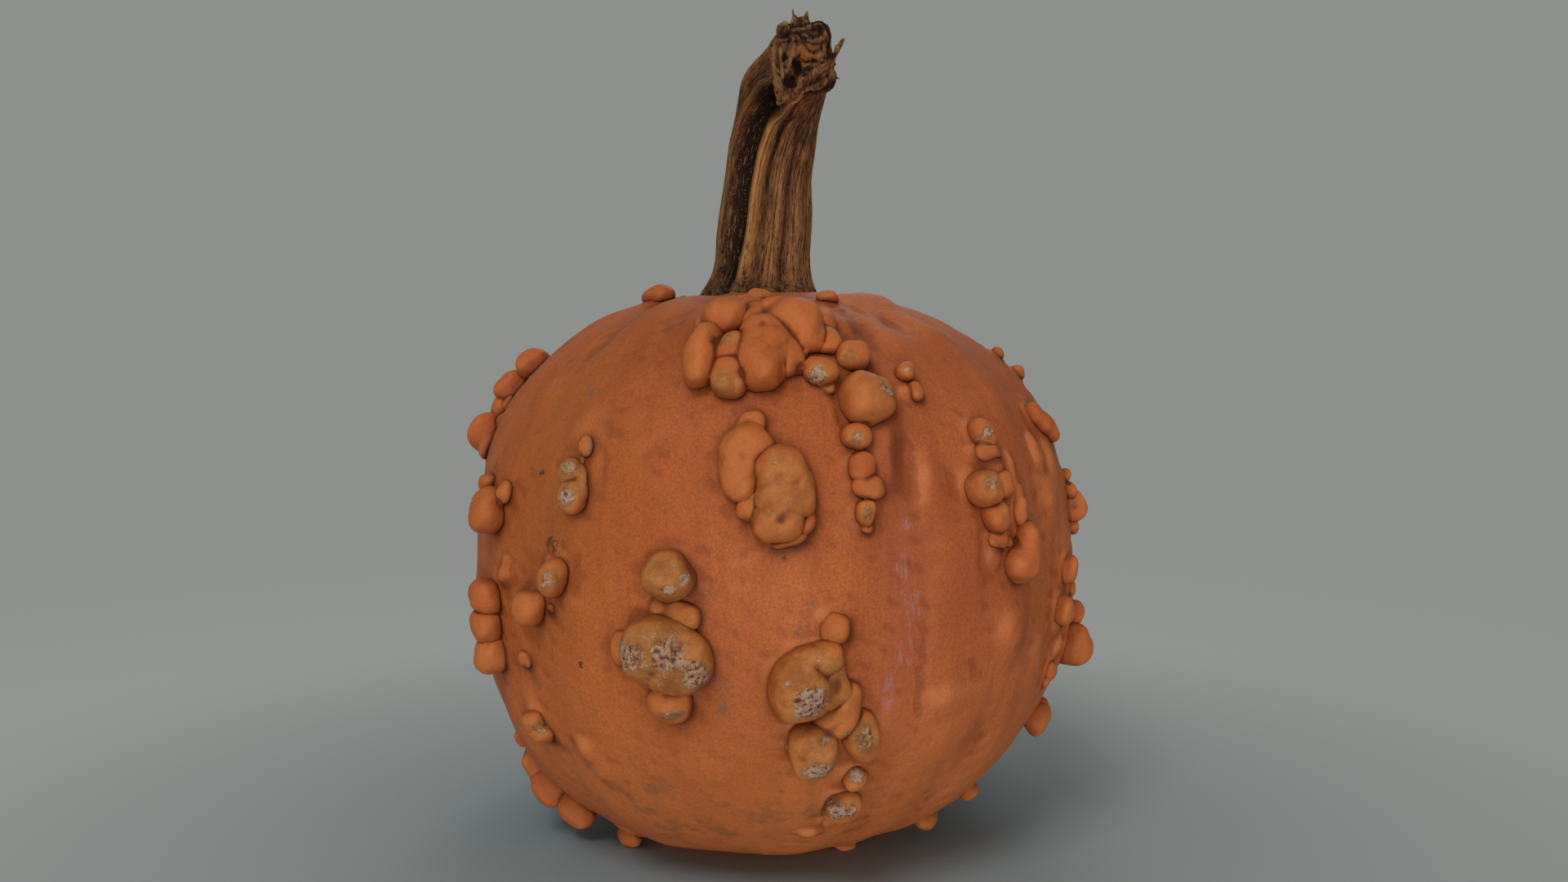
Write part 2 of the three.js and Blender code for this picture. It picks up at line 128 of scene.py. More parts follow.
# Clusters of knobs, each with its azimuth and latitude. A knob is its place east and north
# of there along the rind, its width and height, its turn, how far it stands out, and the lump
# it is part of. A corky scab is its place, half width and half height, turn, thickness and
# paleness.
CLUSTERS = {
    "crown": (7, 41, [
        (-20.5, -10.8, 9, 20.5, -5, 0.98, "c"), (-13.8, 4, 13, 14.5, 0, 1.05, "b"),
        (-17.5, 3, 10, 11, 0, 0.85, "y"), (-13, -11.2, 9, 12, -10, 1.3, "d"),
        (-15.5, -13.5, 8, 8, 0, 0.9, "e"), (-14.4, -18, 9.5, 12, 0, 1.05, "e"),
        (-5.2, -7.5, 13, 14, 0, 1.08, "a"), (-5.6, -12.5, 12.5, 13, 0, 1.08, "a"),
        (-6.4, -17, 11.5, 12, 0, 1.05, "a"),
        (1, -11.3, 8, 14.5, 15, 0.75, "a"), (2, 2.8, 15.5, 14, 0, 0.85, "f"),
        (5.3, -2, 12.5, 14, -20, 1.08, "f"), (7.2, -6.5, 7.5, 8.5, -20, 0.95, "f"),
        (13, 4.2, 7, 12.5, -10, 0.75, "g"), (11.5, -5.5, 10.5, 9.5, 0, 0.65, "l"),
        (-5.8, 2.8, 10.5, 11.5, 0, 0.95, "h"), (-3.5, 18, 8, 9, 0, 0.85, "i"),
        (10, -13, 10, 4.5, -10, 0.3, "n"), (20, 24, 6.5, 4.5, -15, 0.9, "o"),
        (22.5, 16, 3.5, 2.5, 0, 0.4, "p"), (-7.5, -2, 31, 37, -10, 0.13, "z")],
       [(-13, -9, 4, 3.5, 0, 0.45, 0.2), (-14, -22, 5, 4, 0, 0.45, 0.2),
        (15, 9, 2, 1, 0, 0.5, 0.5)]),
    "collar": (17, 27, [
        (-6, 6, 9.5, 7.5, -5, 1.05, "a"), (-5, 2.5, 4.5, 5, -30, 0.7, "b"),
        (5, 12, 9.5, 8.5, 0, 1, "c"), (3.5, -3, 12, 14, 0, 1, "d"),
        (7, -2, 10, 12, 10, 1, "d"), (0, -12.5, 7.5, 6.5, 0, 1, "e"),
        (4, 20.5, 4, 4.5, 0, 0.3, "f")],
       [(4, -3, 8, 9, 0, 0.2, 0.1), (-8, 3.5, 3, 3, 0, 0.9, 0.75), (2.5, 10.5, 3, 2, 0, 0.6, 0.6),
        (6, 8, 0.5, 1.5, 0, 0.9, 0.95), (8, -3, 3, 1.5, -30, 1, 1), (6, 3, 3, 0.5, -10, 0.8, 0.8),
        (-1, -13.5, 1.5, 1.5, 0, 1, 0.8), (-1.5, -15, 3, 2.5, 0, 0.5, 0.3)]),
    "string": (17, 11, [
        (0.5, 7.5, 7.5, 7, 0, 0.7, "a"), (1.5, 2.5, 8, 6.5, -5, 0.65, "b"),
        (0, -4.5, 5, 6.5, 0, 0.95, "c"), (0, -8, 3.5, 3, 0, 0.8, "d")],
       [(-0.5, -4.5, 1.5, 2.5, 0, 0.8, 0.75)]),
    "pair": (30, 29, [
        (-0.5, 3, 5, 5.5, -10, 0.95, "a"), (0, -4, 4, 5.5, 0, 0.9, "b"),
        (-2.5, -3.5, 4, 4.5, 0, 0.5, "c")],
       [(-1.5, 2, 1.5, 1, -30, 0.9, 0.95)]),
    "ladder": (42, 8, [
        (-2.5, 20, 8, 7.5, 0, 1, "a"), (-2.5, 14.5, 9, 6, 0, 0.66, "b"),
        (-0.5, 10.8, 7, 5, 0, 0.55, "c"), (-7.5, 5, 10, 10, 0, 1.05, "d"),
        (1, 5.5, 6, 7, 0, 0.95, "d"), (7, 10.5, 3, 8, 5, 0.4, "e"),
        (8, 3.5, 3, 4.5, 0, 0.8, "f"), (7, -2, 4.5, 8, -5, 0.8, "f"),
        (-3.5, -2.5, 8, 9, 0, 0.9, "g"), (-2.5, -8.5, 7, 6, 0, 0.64, "h"),
        (8, -12, 9, 12, -8, 0.8, "i"), (5, -17, 10, 10, 0, 0.85, "i"),
        (-4.5, -14, 6, 7.5, 0, 0.3, "j"), (2, -10, 2.5, 4, 0, 0.64, "k")],
       [(-4, 19.5, 2.5, 2, 0, 0.9, 0.95), (-5.5, 18, 3.5, 2.5, 0, 0.4, 0.4),
        (-8.5, 5.5, 3.5, 3.5, 0, 0.6, 0.55), (-8, 5.5, 1, 1, 0, 0.8, 0.1),
        (-4, -1.5, 1, 2, 0, 0.5, 0.9), (6, -15.5, 0.5, 1, 0, 0.5, 0.8)]),
    "breast": (3, 14, [
        (-3.5, 15.5, 7, 6.5, 0, 0.75, "b"), (-5, 9, 13, 9.5, -5, 0.9, "b"),
        (-6.6, 4.5, 10.5, 9, 0, 0.88, "b"), (-7.8, 1, 8.5, 11, 5, 0.85, "b"),
        (3, 2, 13, 11.5, 0, 1, "c"),
        (7, -2, 7.5, 13, 12, 0.95, "c"), (-5.5, -6, 6, 7, 0, 0.75, "c"),
        (1.5, -11, 11.5, 10.5, 0, 1, "c"), (9, -10.5, 4, 8.5, -18, 0.7, "d"),
        (4.5, -15.5, 9, 3.5, 12, 0.75, "e"), (3, -4.8, 12, 10, 0, 1, "c")],
       [(3, -4, 10, 14, 0, 0.3, 0.1), (1.5, 2.5, 1, 0.5, 10, 0.8, 0.9), (4, -0.5, 1, 1, 0, 0.5, 0.1),
        (-0.5, -9.5, 1, 1, 0, 0.6, 0.15)]),
    "navel": (12, -7, [
        (-0.5, -1, 8, 8, 0, 0.66, "a"), (-3, 1.5, 3.5, 3.5, 0, 0.3, "b")],
       []),
    "chest_ball": (-12, -3, [
        (0, 7, 12, 13, 0, 1.05, "a"), (-2, -1.5, 8.5, 5.5, -5, 0.64, "c"),
        (3.5, -3.5, 8, 6.5, -25, 0.65, "c"), (3.5, -7, 4, 2, -20, 0.4, "d")],
       [(0.5, 7, 9, 10, 0, 0.42, 0.1), (1.5, 4, 2.5, 1.5, 0, 1, 0.7),
        (5, 6.5, 1.5, 2.5, 15, 0.8, 0.8)]),
    "chest": (-15, -12, [
        (0, 4, 16, 15.5, 0, 0.95, "a"), (7, 1, 15.5, 15.5, 0, 0.95, "a"),
        (1.5, -1.5, 11, 9, -20, 0.9, "a"),
        (-10, 3, 6, 9, 0, 0.64, "b"), (3, -10.5, 11.5, 10, 0, 0.8, "c")],
       [(4, 4, 15, 12, -20, 0.5, 0.1), (-3, 4.5, 5.5, 4.5, 20, 0.9, 0.6),
        (6, 4.5, 7, 4.5, -35, 0.9, 0.6), (11.5, 0, 4, 6, 25, 0.9, 0.6),
        (2.5, 2.5, 3.5, 2, -20, 0.7, 0.4), (3.5, -11.5, 4.5, 2, 0, 0.7, 0.5)]),
    "belly": (10, -17, [
        (-7, 1.5, 14.5, 16, 0, 0.95, "a"), (2, 2, 9, 10.5, 0, 0.85, "a"),
        (-2, 9.5, 11, 8, 10, 0.9, "a"), (0.5, 9.5, 6.5, 7, 0, 0.9, "a"),
        (5.6, -3, 7.5, 11.5, -12, 0.85, "d"), (2.5, -8.5, 10.5, 8, 18, 0.85, "d")],
       [(-3.5, 4, 13, 14, 0, 0.42, 0.1), (-5, 2, 5.5, 5.2, -30, 1, 0.65), (-10, 7, 1, 1, 0, 0.8, 0.7),
        (-2.5, 11, 1, 1, 0, 0.6, 0.9)]),
    "belly_low": (10, -25, [
        (-3, -0.5, 12.5, 13.5, 0, 0.95, "a"), (-9, -1.5, 2, 2.5, 0, 0.8, "b"),
        (9.5, 2, 9, 13.5, 15, 0.75, "c")],
       [(-2.5, -2.5, 5.5, 3, 18, 1, 0.7), (-1, 5, 2.5, 1.5, 0, 0.7, 0.3),
        (-3, 0.5, 9, 10, 0, 0.36, 0.1), (9.5, 3, 4, 6, 10, 0.75, 0.4),
        (4.5, 5.5, 1.5, 1, 0, 0.9, 1)]),
    "belly_foot": (13, -38, [
        (4, 11, 6.5, 6, 40, 0.95, "a"), (1.5, 1, 9.5, 9, 0, 0.9, "b"),
        (-0.5, -7, 4, 4, 0, 0.7, "c"), (-5, -14, 5.5, 4.5, 0, 0.5, "d")],
       [(4, 14, 2.4, 2.5, 0, 1, 1), (-0.5, 3.5, 4, 3, 0, 0.95, 0.8), (3.5, 3, 1.6, 2.6, 0, 1, 1)]),
    "dot_left": (-28, 21, [
        (0.5, -0.5, 4.5, 5.5, 0, 0.95, "a"), (-1, -4, 2.5, 3.5, 0, 0.64, "b")],
       [(2.5, -1.5, 1.5, 2, 0, 0.6, 0.5)]),
    "bean_left": (-29, 15, [
        (-1.5, 3, 7, 6.6, 0, 0.98, "a"), (-1, -0.8, 5, 7, 0, 0.8, "a"),
        (-0.5, -4, 7.5, 8, 0, 0.98, "a"), (2.4, -0.2, 3.6, 7, 0, 0.72, "a")],
       [(0, -0.5, 6, 9, 0, 0.4, 0.2), (-0.5, 3, 3, 2.5, 0, 0.95, 0.5), (0, -4.5, 3, 3, 0, 0.95, 0.7)]),
    "duo_left": (-36, -3, [
        (4.5, 5, 7.5, 10, -15, 0.95, "a"), (-6, -3.5, 9.5, 10, 0, 0.95, "b"),
        (1.5, -3.5, 3, 3, 0, 0.7, "c"), (-4, 1.5, 3.5, 2.5, 0, 0.4, "d"),
        (0.5, 9, 4.5, 3.5, 20, 0.4, "e")],
       [(6, 5, 2.5, 4, -15, 0.7, 0.55)]),
    "ear_left": (-52, 13, [
        (0, -4.5, 12, 12, 0, 0.95, "a"), (-7.5, 3.5, 8.5, 6, 0, 0.8, "b"),
        (6, 1, 5.5, 6.5, 0, 0.85, "c")],
       [(-1.5, -1.5, 1, 1.5, 0, 0.7, 0.6)]),
    "flank_left": (-51, -7, [
        (-5.5, 4.5, 13, 10, 0, 0.9, "a"), (-6.5, -4, 13, 9.5, 0, 0.9, "b"),
        (-5.5, -12.5, 12.5, 10.5, 0, 0.85, "c"), (11, -12.5, 4.5, 4.5, 0, 0.7, "d"),
        (3.5, 11, 5.5, 6, 0, 0.6, "e"), (4.5, 15, 4, 3.5, 0, 0.4, "f")],
       [(-12, 0.5, 1, 1.5, 0, 0.6, 0.5)]),
    "hip_dot_left": (-44, -26, [
        (-1.5, 0.5, 8, 8, 0, 0.9, "a"), (2, -2, 5, 4.5, -30, 0.85, "a")],
       [(2.5, 1.5, 3.5, 2.5, -20, 0.8, 0.6)]),
    "shoulder_specks": (76, 34, [
        (-1.5, 3, 5, 4.5, 0, 0.9, "a"), (0.5, -5.5, 5.5, 5, 0, 0.9, "b")],
       [(-1.5, 3, 1.5, 1.5, 0, 0.7, 0.6)]),
    "shoulder_right": (63, 19, [
        (0.5, 6, 6.5, 7, 0, 0.9, "a"), (3.2, 3, 7, 8, 0, 0.9, "a"), (6, 0, 6, 7.5, 0, 0.95, "a"),
        (-9, -5.5, 8, 11, 0, 0.3, "b")],
       [(-6, -3, 1, 3, 25, 0.9, 1)]),
    "flank_right": (75, 5, [
        (-3, 10.5, 4, 4.5, 0, 0.8, "a"), (-1, 6, 5, 5, 0, 0.85, "b"), (2, 0.5, 6.5, 10, 0, 0.95, "c"),
        (1.5, -6.5, 5.5, 4, 0, 0.85, "d")], []),
    "hip_right": (68, -14, [
        (-5, 17, 6, 9, 0, 0.85, "a"), (2, 10, 4, 4.5, 0, 0.9, "b"), (-8.5, 5, 8, 9, 0, 0.85, "c"),
        (-9, 0, 5.5, 5, 0, 0.5, "c"), (11.5, 1.5, 6, 7.5, 0, 0.95, "d"), (9.5, -8.5, 11, 13, -20, 1, "e"),
        (-4, -7, 5, 6, 0, 0.4, "f"), (-7, -14.5, 5, 6.5, 0, 0.7, "g"), (-7.5, -18, 3.5, 4, 0, 0.8, "h")],
       []),
    "thigh_right": (78, -33, [
        (-0.5, -1, 9, 10.5, 0, 0.95, "a"), (1, 2.5, 6, 6, 0, 0.9, "b")],
       [(0, -4, 2.5, 2, 0, 0.4, 0.3)]),
    "heel_right": (70, -50, [
        (0.5, 0, 6.5, 6.5, 0, 0.9, "a"), (-7, -14, 10, 7.5, 0, 0.95, "b")],
       [(-7, -16, 3, 2, 0, 0.5, 0.5)]),
    "heel_front": (39, -68, [(0, -0.5, 7.5, 4.5, 0, 0.9, "a")], []),
    "brow_left": (-82, 31, [
        (1, 16, 11, 11, 0, 1, "a"), (-0.5, 5.5, 11, 10.5, 0, 1, "b"), (-1, -1, 8.5, 9, 0, 0.9, "c"),
        (4, 1, 4.5, 5, 0, 0.7, "d"), (-0.5, -11, 10, 12, 0, 1.1, "e"), (1, -15, 7, 8, 0, 0.7, "e"),
        (4, -5, 4, 4.5, 0, 0.6, "f")], []),
    "brow_top": (-52, 68, [
        (-3.5, -2, 13.5, 10, 0, 0.72, "a"), (2.5, 3.5, 3, 2.5, 0, 0.9, "b")],
       [(-3, 1, 4, 3, 0, 0.6, 0.4)]),
    "hip_left": (-74, -43, [
        (-5, 13, 5, 6, 0, 0.9, "a"), (-3, 4.5, 9.5, 10, 0, 0.9, "b"), (0.5, -4, 14, 12, 0, 0.95, "b"),
        (-3.5, -7, 6.5, 7.5, 0, 1, "b"), (5.5, -13, 14.5, 12.5, 0, 0.9, "c")],
       [(-5.5, -9, 1.2, 2.2, 15, 1, 1), (-1.5, -3.5, 1, 1.6, 25, 0.8, 0.8)]),
    "heel_left": (-59, -59, [(0.5, -0.5, 10.5, 7.5, 0, 0.9, "a")], []),
}

# The far side: the same kinds of cluster, mirrored and spaced by the golden ratio.
FAR_KINDS = [
    "ladder", "chest", "collar", "belly_low", "brow_left", "chest_ball", "breast", "ear_left",
    "string", "belly", "duo_left", "flank_left",
]
FAR_AZIMUTH = 99.0
FAR_WIDTH = 158.0
FAR_LATITUDE = -46.0
FAR_HEIGHT = 94.0
GOLDEN = 0.618

SKIN_PARTS = (16, 8)  # each side of the skin's cube is cut into 16, and those into 8
NEAR_VOXEL, FAR_VOXEL = 0.45, 0.62
NEAR_TRIANGLES, FAR_TRIANGLES = 196000, 150000

# The stem's middle line, from foot to torn end: x, y, z, radius.
SPINE = [
    (0.4, 0, STEM_FOOT, 23.2), (0.5, 0.2, 186, 18.5), (1.2, 0.5, 200, 17), (2.2, 0.3, 217, 16.2),
    (3.8, -1.5, 232, 15.6), (6.8, -7.5, 244.5, 14.6), (10.6, -17, 251.6, 13.4), (14, -26, 254, 12),
]
STEM_AROUND = 240
STEM_ALONG = 300
STEM_TWIST = 28.0
STEM_CORE = 0.8
STEM_FIBRES = 26

# Ridges along the stem, as angle, height and half width; then the deep cleft beside the
# brightest ridge and the narrow groove on its other side.
RIDGES = [
    (190, 0.2, 13), (217, -0.14, 11), (243, 0.17, 8), (276, 0.07, 12), (309, 0.12, 14),
    (341, 0.16, 12), (16, 0.18, 12), (58, 0.2, 13), (100, 0.17, 13), (146, 0.2, 13),
]
CLEFT = (218, 0.17, 13)
GROOVE = (260, 0.07, 5)

# The torn end: its lumps as middle and half sizes, the folds that cross its face, each a
# thickness and its places across and up, a stub that stands free at its right, its pits as
# place across and up, half width, half height and depth, and its thorns as foot, tip and
# thickness.
TORN_LUMPS = [
    (14.2, -27, 253.4, 10.2, 6.2, 11), (18.8, -27.4, 260.3, 4.8, 5, 5.2),
    (8, -28.5, 248, 3.8, 4, 8), (19.2, -28, 247.2, 5.8, 4.6, 4.8), (8.4, -26.4, 262.6, 3, 3, 3.4),
    (10.8, -27.4, 260.4, 4.4, 4.4, 4), (13.3, -28, 264.6, 3.4, 1.3, 2.4),
]
TORN_BACK = -28.0
TORN_FACE = -27.0  # pits begin in front of this
PIT_FADE = 3.0  # and have their full depth from this much farther forward
TORN_FOLDS = [
    (1.75, [(6.4, 239.4), (9.3, 240.8), (12.2, 243.4), (14.8, 245.6), (17.9, 247.3), (21.1, 249.2),
            (23.2, 251.6)]),
    (1.4, [(4.8, 257.6), (4.8, 252), (5.3, 246.8), (6.2, 242.3), (6.9, 239.4)]),
    (1.4, [(11.4, 256.4), (10.8, 253.4), (10, 250.4), (9.3, 247.8)]),
    (0.9, [(4.8, 257.7), (6.9, 258.6), (9.3, 259.1), (11.8, 258.5)]),
    (1.1, [(20.9, 261.2), (21.4, 258.5), (21.2, 255.4)]),
    (0.9, [(11.5, 261.6), (14.6, 262.4), (17.8, 262.8), (20, 263.4)]),
    (1.15, [(12.8, 255.2), (15, 252.8), (18.2, 252.2), (21.4, 254.2)]),
    (0.85, [(14.4, 259.6), (17.2, 257.8), (20, 258.4)]),
    (0.8, [(13, 249.6), (16.6, 249.8), (20.2, 251.8)]),
    (1.2, [(15.4, 243.4), (19.2, 243.8), (22.6, 245.8), (23.8, 248.2)]),
    (0.6, [(6.8, 255.6), (7.3, 251), (7.8, 246.4)]),
]
STUB = (1.05, [(21.6, -30, 250.8), (22.8, -30.8, 252.2), (24, -31, 254), (25.4, -31, 256.2),
               (26.8, -31, 258.4)])
TORN_PITS = [
    (12.2, 249.2, 1.6, 2.1, 2.3), (9.5, 244.9, 1.7, 2.3, 2.1), (7.8, 252.6, 0.6, 1.9, 1),
    (8.3, 260.6, 1.5, 1.7, 1.3), (13.4, 262.8, 1.7, 0.7, 0.9), (14.7, 259.2, 1.4, 1, 1.2),
    (19.7, 261.8, 2.2, 1.5, 1.3), (16.8, 258, 1.3, 0.6, 0.8), (22.8, 255.4, 0.7, 2.4, 1),
    (17.6, 250.8, 2.2, 0.8, 0.8),
]
THORNS = [
    ((12, -28, 264.4), (10.7, -28.6, 269.3), 1.5), ((14.9, -28.2, 264.4), (15.5, -28.8, 268.8), 1.5),
    ((23.4, -29.5, 247), (26, -30, 246.4), 0.8),
]
TORN_VOXEL = 0.26
FOLD_BEADS = 10  # balls that a fold is rolled from, for each of its places
STUB_BEADS = 40

# The setting, in metres.
CAMERA_PLACE = (0.008, -0.371, 0.1304)
CAMERA_LENS = 24.45
FLOOR_RADIUS = 1.2
SQUASH_MIDDLE = (0, 0, 0.11)


# ---------------------------------------------------------------- small tools
def deselect():
    bpy.ops.object.select_all(action="DESELECT")


def pick(*objects):
    deselect()
    for obj in objects:
        obj.select_set(True)
    bpy.context.view_layer.objects.active = objects[0]


def vertex_rows(obj, kind):
    flat = np.empty(len(obj.data.vertices) * 3)
    obj.data.vertices.foreach_get(kind, flat)
    return flat.reshape(-1, 3)


def coordinates(obj):
    return vertex_rows(obj, "co")


def normals(obj):
    return vertex_rows(obj, "normal")


def move_vertices(obj, points):
    obj.data.vertices.foreach_set("co", np.asarray(points, dtype=np.float64).ravel())
    obj.data.update()


def apply_modifier(obj, kind, **settings):
    pick(obj)
    modifier = obj.modifiers.new(kind.title(), kind)
    for key, value in settings.items():
        setattr(modifier, key, value)
    bpy.ops.object.modifier_apply(modifier=modifier.name)


def join(objects, name):
    pick(*objects)
    bpy.ops.object.join()
    joined = bpy.context.view_layer.objects.active
    joined.name = name
    joined.data.name = name
    return joined


def smooth_faces(obj):
    pick(obj)
    bpy.ops.object.shade_smooth()


def triangles(obj):
    obj.data.calc_loop_triangles()
    return len(obj.data.loop_triangles)


def thin_to(obj, count):
    apply_modifier(obj, "DECIMATE", ratio=min(1.0, count / triangles(obj)))


def stand_out(obj, rounds):
    """How far each vertex stands out of the same surface rubbed smooth, in millimetres."""
    pick(obj)
    bpy.ops.object.duplicate()
    rubbed = bpy.context.object
    apply_modifier(rubbed, "SMOOTH", factor=0.5, iterations=rounds)
    out = ((coordinates(obj) - coordinates(rubbed)) * normals(rubbed)).sum(1) / MM
    bpy.data.objects.remove(rubbed)
    return out


def unit(vectors):
    return vectors / np.linalg.norm(vectors, axis=-1, keepdims=True)


def bell(offset, half_width):
    return np.exp(-((offset / half_width) ** 2))


def soft_step(value, low, high):
    t = np.clip((value - low) / (high - low), 0, 1)
    return t * t * (3 - 2 * t)


def turn_between(angle, other):
    return (angle - other + 180) % 360 - 180


def bell_round(angle, at, half_width):
    return bell(turn_between(angle, at), half_width)


def ripple(points, size, seed, waves=7):
    """A smooth random swell through space, about -1 to 1, its bumps about `size` apart."""
    draw = np.random.default_rng(seed)
    total = np.zeros(len(points))
    for _ in range(waves):
        way = draw.normal(size=3)
        way *= 2 * math.pi / (size * np.linalg.norm(way))
        total += np.sin(points @ way + draw.uniform(0, 2 * math.pi))
    return total / math.sqrt(waves)


def ripples(points, kinds):
    """Ripples of several kinds together, each with its height, spacing, seed and waves."""
    return sum(height * ripple(points, *kind) for height, *kind in kinds)


def warp(points, size, seeds):
    """A ripple's push along each axis, from three seeds."""
    return np.stack([ripple(points, size, seed) for seed in seeds], -1)


def along_spline(points, t):
    """The Catmull-Rom curve through rows of numbers, at t from 0 to 1."""
    rows = np.asarray(points, dtype=float)
    rows = np.vstack([2 * rows[0] - rows[1], rows, 2 * rows[-1] - rows[-2]])
    place = np.clip(t, 0, 1) * (len(rows) - 3)
    i = np.minimum(place.astype(int), len(rows) - 4)
    f = (place - i)[:, None]
    a, b, c, d = rows[i], rows[i + 1], rows[i + 2], rows[i + 3]
    return 0.5 * (2 * b + (c - a) * f + (2 * a - 5 * b + 4 * c - d) * f**2
                  + (3 * b - a - 3 * c + d) * f**3)


def store(obj, name, values):
    """A number for each vertex, which the materials read by name."""
    layer = obj.data.attributes.new(name, "FLOAT", "POINT")
    layer.data.foreach_set("value", np.asarray(values, dtype=np.float32))


def store_place(obj, name, places):
    layer = obj.data.attributes.new(name, "FLOAT_VECTOR", "POINT")
    layer.data.foreach_set("vector", np.asarray(places, dtype=np.float32).ravel())


# ---------------------------------------------------------------- the skin
def valley_depth(azimuth, latitude):
    depth = sum(deep * bell_round(azimuth, at, half_width) for at, deep, half_width in VALLEYS)
    shoulder = SHOULDER_GAIN * bell(latitude - SHOULDER_LATITUDE, SHOULDER_SPREAD)
    return depth * np.cos(np.radians(latitude)) * (1 + shoulder)


def rind_radius(azimuth, latitude):
    level, up = np.cos(np.radians(latitude)), np.sin(np.radians(latitude))
    reach = np.where(latitude > 0, CROWN_RISE, UNDER_DROP)
    profile = (level / GIRTH_RADIUS) ** PROFILE_POWER + (np.abs(up) / reach) ** PROFILE_POWER
    fuller = FULLER_SIDE * np.sin(np.radians(azimuth)) * level**3
    hollow = HOLLOW_DEPTH * bell(90 - latitude, HOLLOW_SPREAD)
    return profile ** (-1 / PROFILE_POWER) + fuller - hollow - valley_depth(azimuth, latitude)


def rind_direction(azimuth, latitude):
    a, t = np.radians(azimuth), np.radians(latitude)
    return np.stack([np.cos(t) * np.sin(a), -np.cos(t) * np.cos(a), np.sin(t)], -1)


def lean_and_lift(points):
    x, y, z = points[..., 0], points[..., 1], points[..., 2]
    return np.stack([x * math.cos(LEAN) - z * math.sin(LEAN), y,
                     x * math.sin(LEAN) + z * math.cos(LEAN) + GIRTH_HEIGHT], -1)


def unlean(points):
    x, y, z = points[..., 0], points[..., 1], points[..., 2] - GIRTH_HEIGHT
    return np.stack([x * math.cos(LEAN) + z * math.sin(LEAN), y,
                     -x * math.sin(LEAN) + z * math.cos(LEAN)], -1)


def rind_point(azimuth, latitude):
    azimuth, latitude = np.asarray(azimuth, float), np.asarray(latitude, float)
    radius = rind_radius(azimuth, latitude)
    return lean_and_lift(rind_direction(azimuth, latitude) * radius[..., None])


def rind_normal(azimuth, latitude):
    foot = rind_point(azimuth, latitude)
    return unit(np.cross(rind_point(azimuth + 0.5, latitude) - foot,
                         rind_point(azimuth, latitude + 0.5) - foot))


def bearings(own, radius):
    """The azimuth and latitude of upright points, at a radius from the middle of the girth."""
    latitude = np.degrees(np.arcsin(np.clip(own[..., 2] / radius, -1, 1)))
    return np.degrees(np.arctan2(own[..., 0], -own[..., 1])), latitude


def place_on_rind(points):
    """Azimuth, latitude and distance from the middle of the girth."""
    own = unlean(points)
    radius = np.linalg.norm(own, axis=-1)
    return *bearings(own, radius), radius


def low_knobs():
    """The flattest knobs, as domes of the skin: azimuth, latitude, height and half widths."""
    low = []
    for at, up, knobs, _, hand in cluster_places():
        for east, north, width, height, _, rise, _ in knobs:
            if LEAST_RISE > rise > PAD_RISE:
                azimuth, latitude = beside(at, up, hand * east, north)
                tall = DOME_HEIGHT * rise * (width + height) / 2
                low.append((azimuth, latitude, tall, DOME_REACH * width, DOME_REACH * height))
    return low


def skin_relief(azimuth, latitude):
    """What the skin has over the plain rind: swellings, dents and a faint unevenness."""
    ways = rind_direction(azimuth, latitude)
    level = np.cos(np.radians(latitude))
    relief = ripples(ways, SKIN_RIPPLES)
    for swells, squareness in ((SWELLS, 1), (low_knobs(), DOME_SQUARENESS)):
        for at, up, height, across, along in swells:
            east = np.radians(turn_between(azimuth, at)) * level * GIRTH_RADIUS
            north = np.radians(latitude - up) * GIRTH_RADIUS
            reach = (east / across) ** 2 + (north / along) ** 2
            relief += height * np.exp(-(reach**squareness))
    crinkle = CRINKLE_HEIGHT * bell(latitude - CRINKLE_LATITUDE, CRINKLE_SPREAD) * level
    return relief + crinkle * np.sin(np.radians(azimuth) * CRINKLES + 2 * ripple(ways, 0.8, 13))


def shade_facing_away(ways, start, least):
    """How much painted shade a surface gets that faces these ways."""
    return np.clip(start - SHADE_GAIN * (ways @ LIT_FROM), least, SHADE_MOST)


def make_skin(lumps):
    bpy.ops.mesh.primitive_cube_add(size=2)
    skin = bpy.context.object
    skin.name = skin.data.name = "squash_skin"
    bpy.ops.object.mode_set(mode="EDIT")
    bpy.ops.mesh.select_all(action="SELECT")
    for parts in SKIN_PARTS:
        bpy.ops.mesh.subdivide(number_cuts=parts - 1)
    bpy.ops.object.mode_set(mode="OBJECT")
    ways = unit(np.tan(coordinates(skin) * math.pi / 4))
    azimuth, latitude = bearings(ways, 1)
    relief = skin_relief(azimuth, latitude)
    radius = rind_radius(azimuth, latitude) + relief
    points = lean_and_lift(ways * radius[:, None])
    gap, way, _ = lump_gaps(points, lumps, SKIN_REACH)
    gap = np.maximum(gap, 0)
    radius += SKIN_RISE * np.exp(-gap / SKIN_RISE_WIDTH)
    points = lean_and_lift(ways * radius[:, None])
    points[:, 2] = np.maximum(points[:, 2], 0)
    move_vertices(skin, points * MM)
    smooth_faces(skin)
    # Painted shade beside the knobs and in a dark line at their foot, deepest on the side away from the
    # light; painted light and shade where the relief faces toward or away from the light; and how far the
    # skin stands out, for painted shade in its hollows.
    painted_shading = shade_facing_away(way, 0.55, 0.1)
    store(skin, "beside", np.exp(-gap / SKIN_SHADE_WIDTH) * painted_shading)
    store(skin, "swell", relief)
    store(skin, "knob_foot_shade", np.exp(-(gap**2)) * painted_shading)
    store(skin, "painted_shading", (rind_normal(azimuth, latitude) - normals(skin)) @ LIT_FROM)
    paint_place(skin, azimuth, latitude)
    store(skin, "out", stand_out(skin, 14))
    return skin


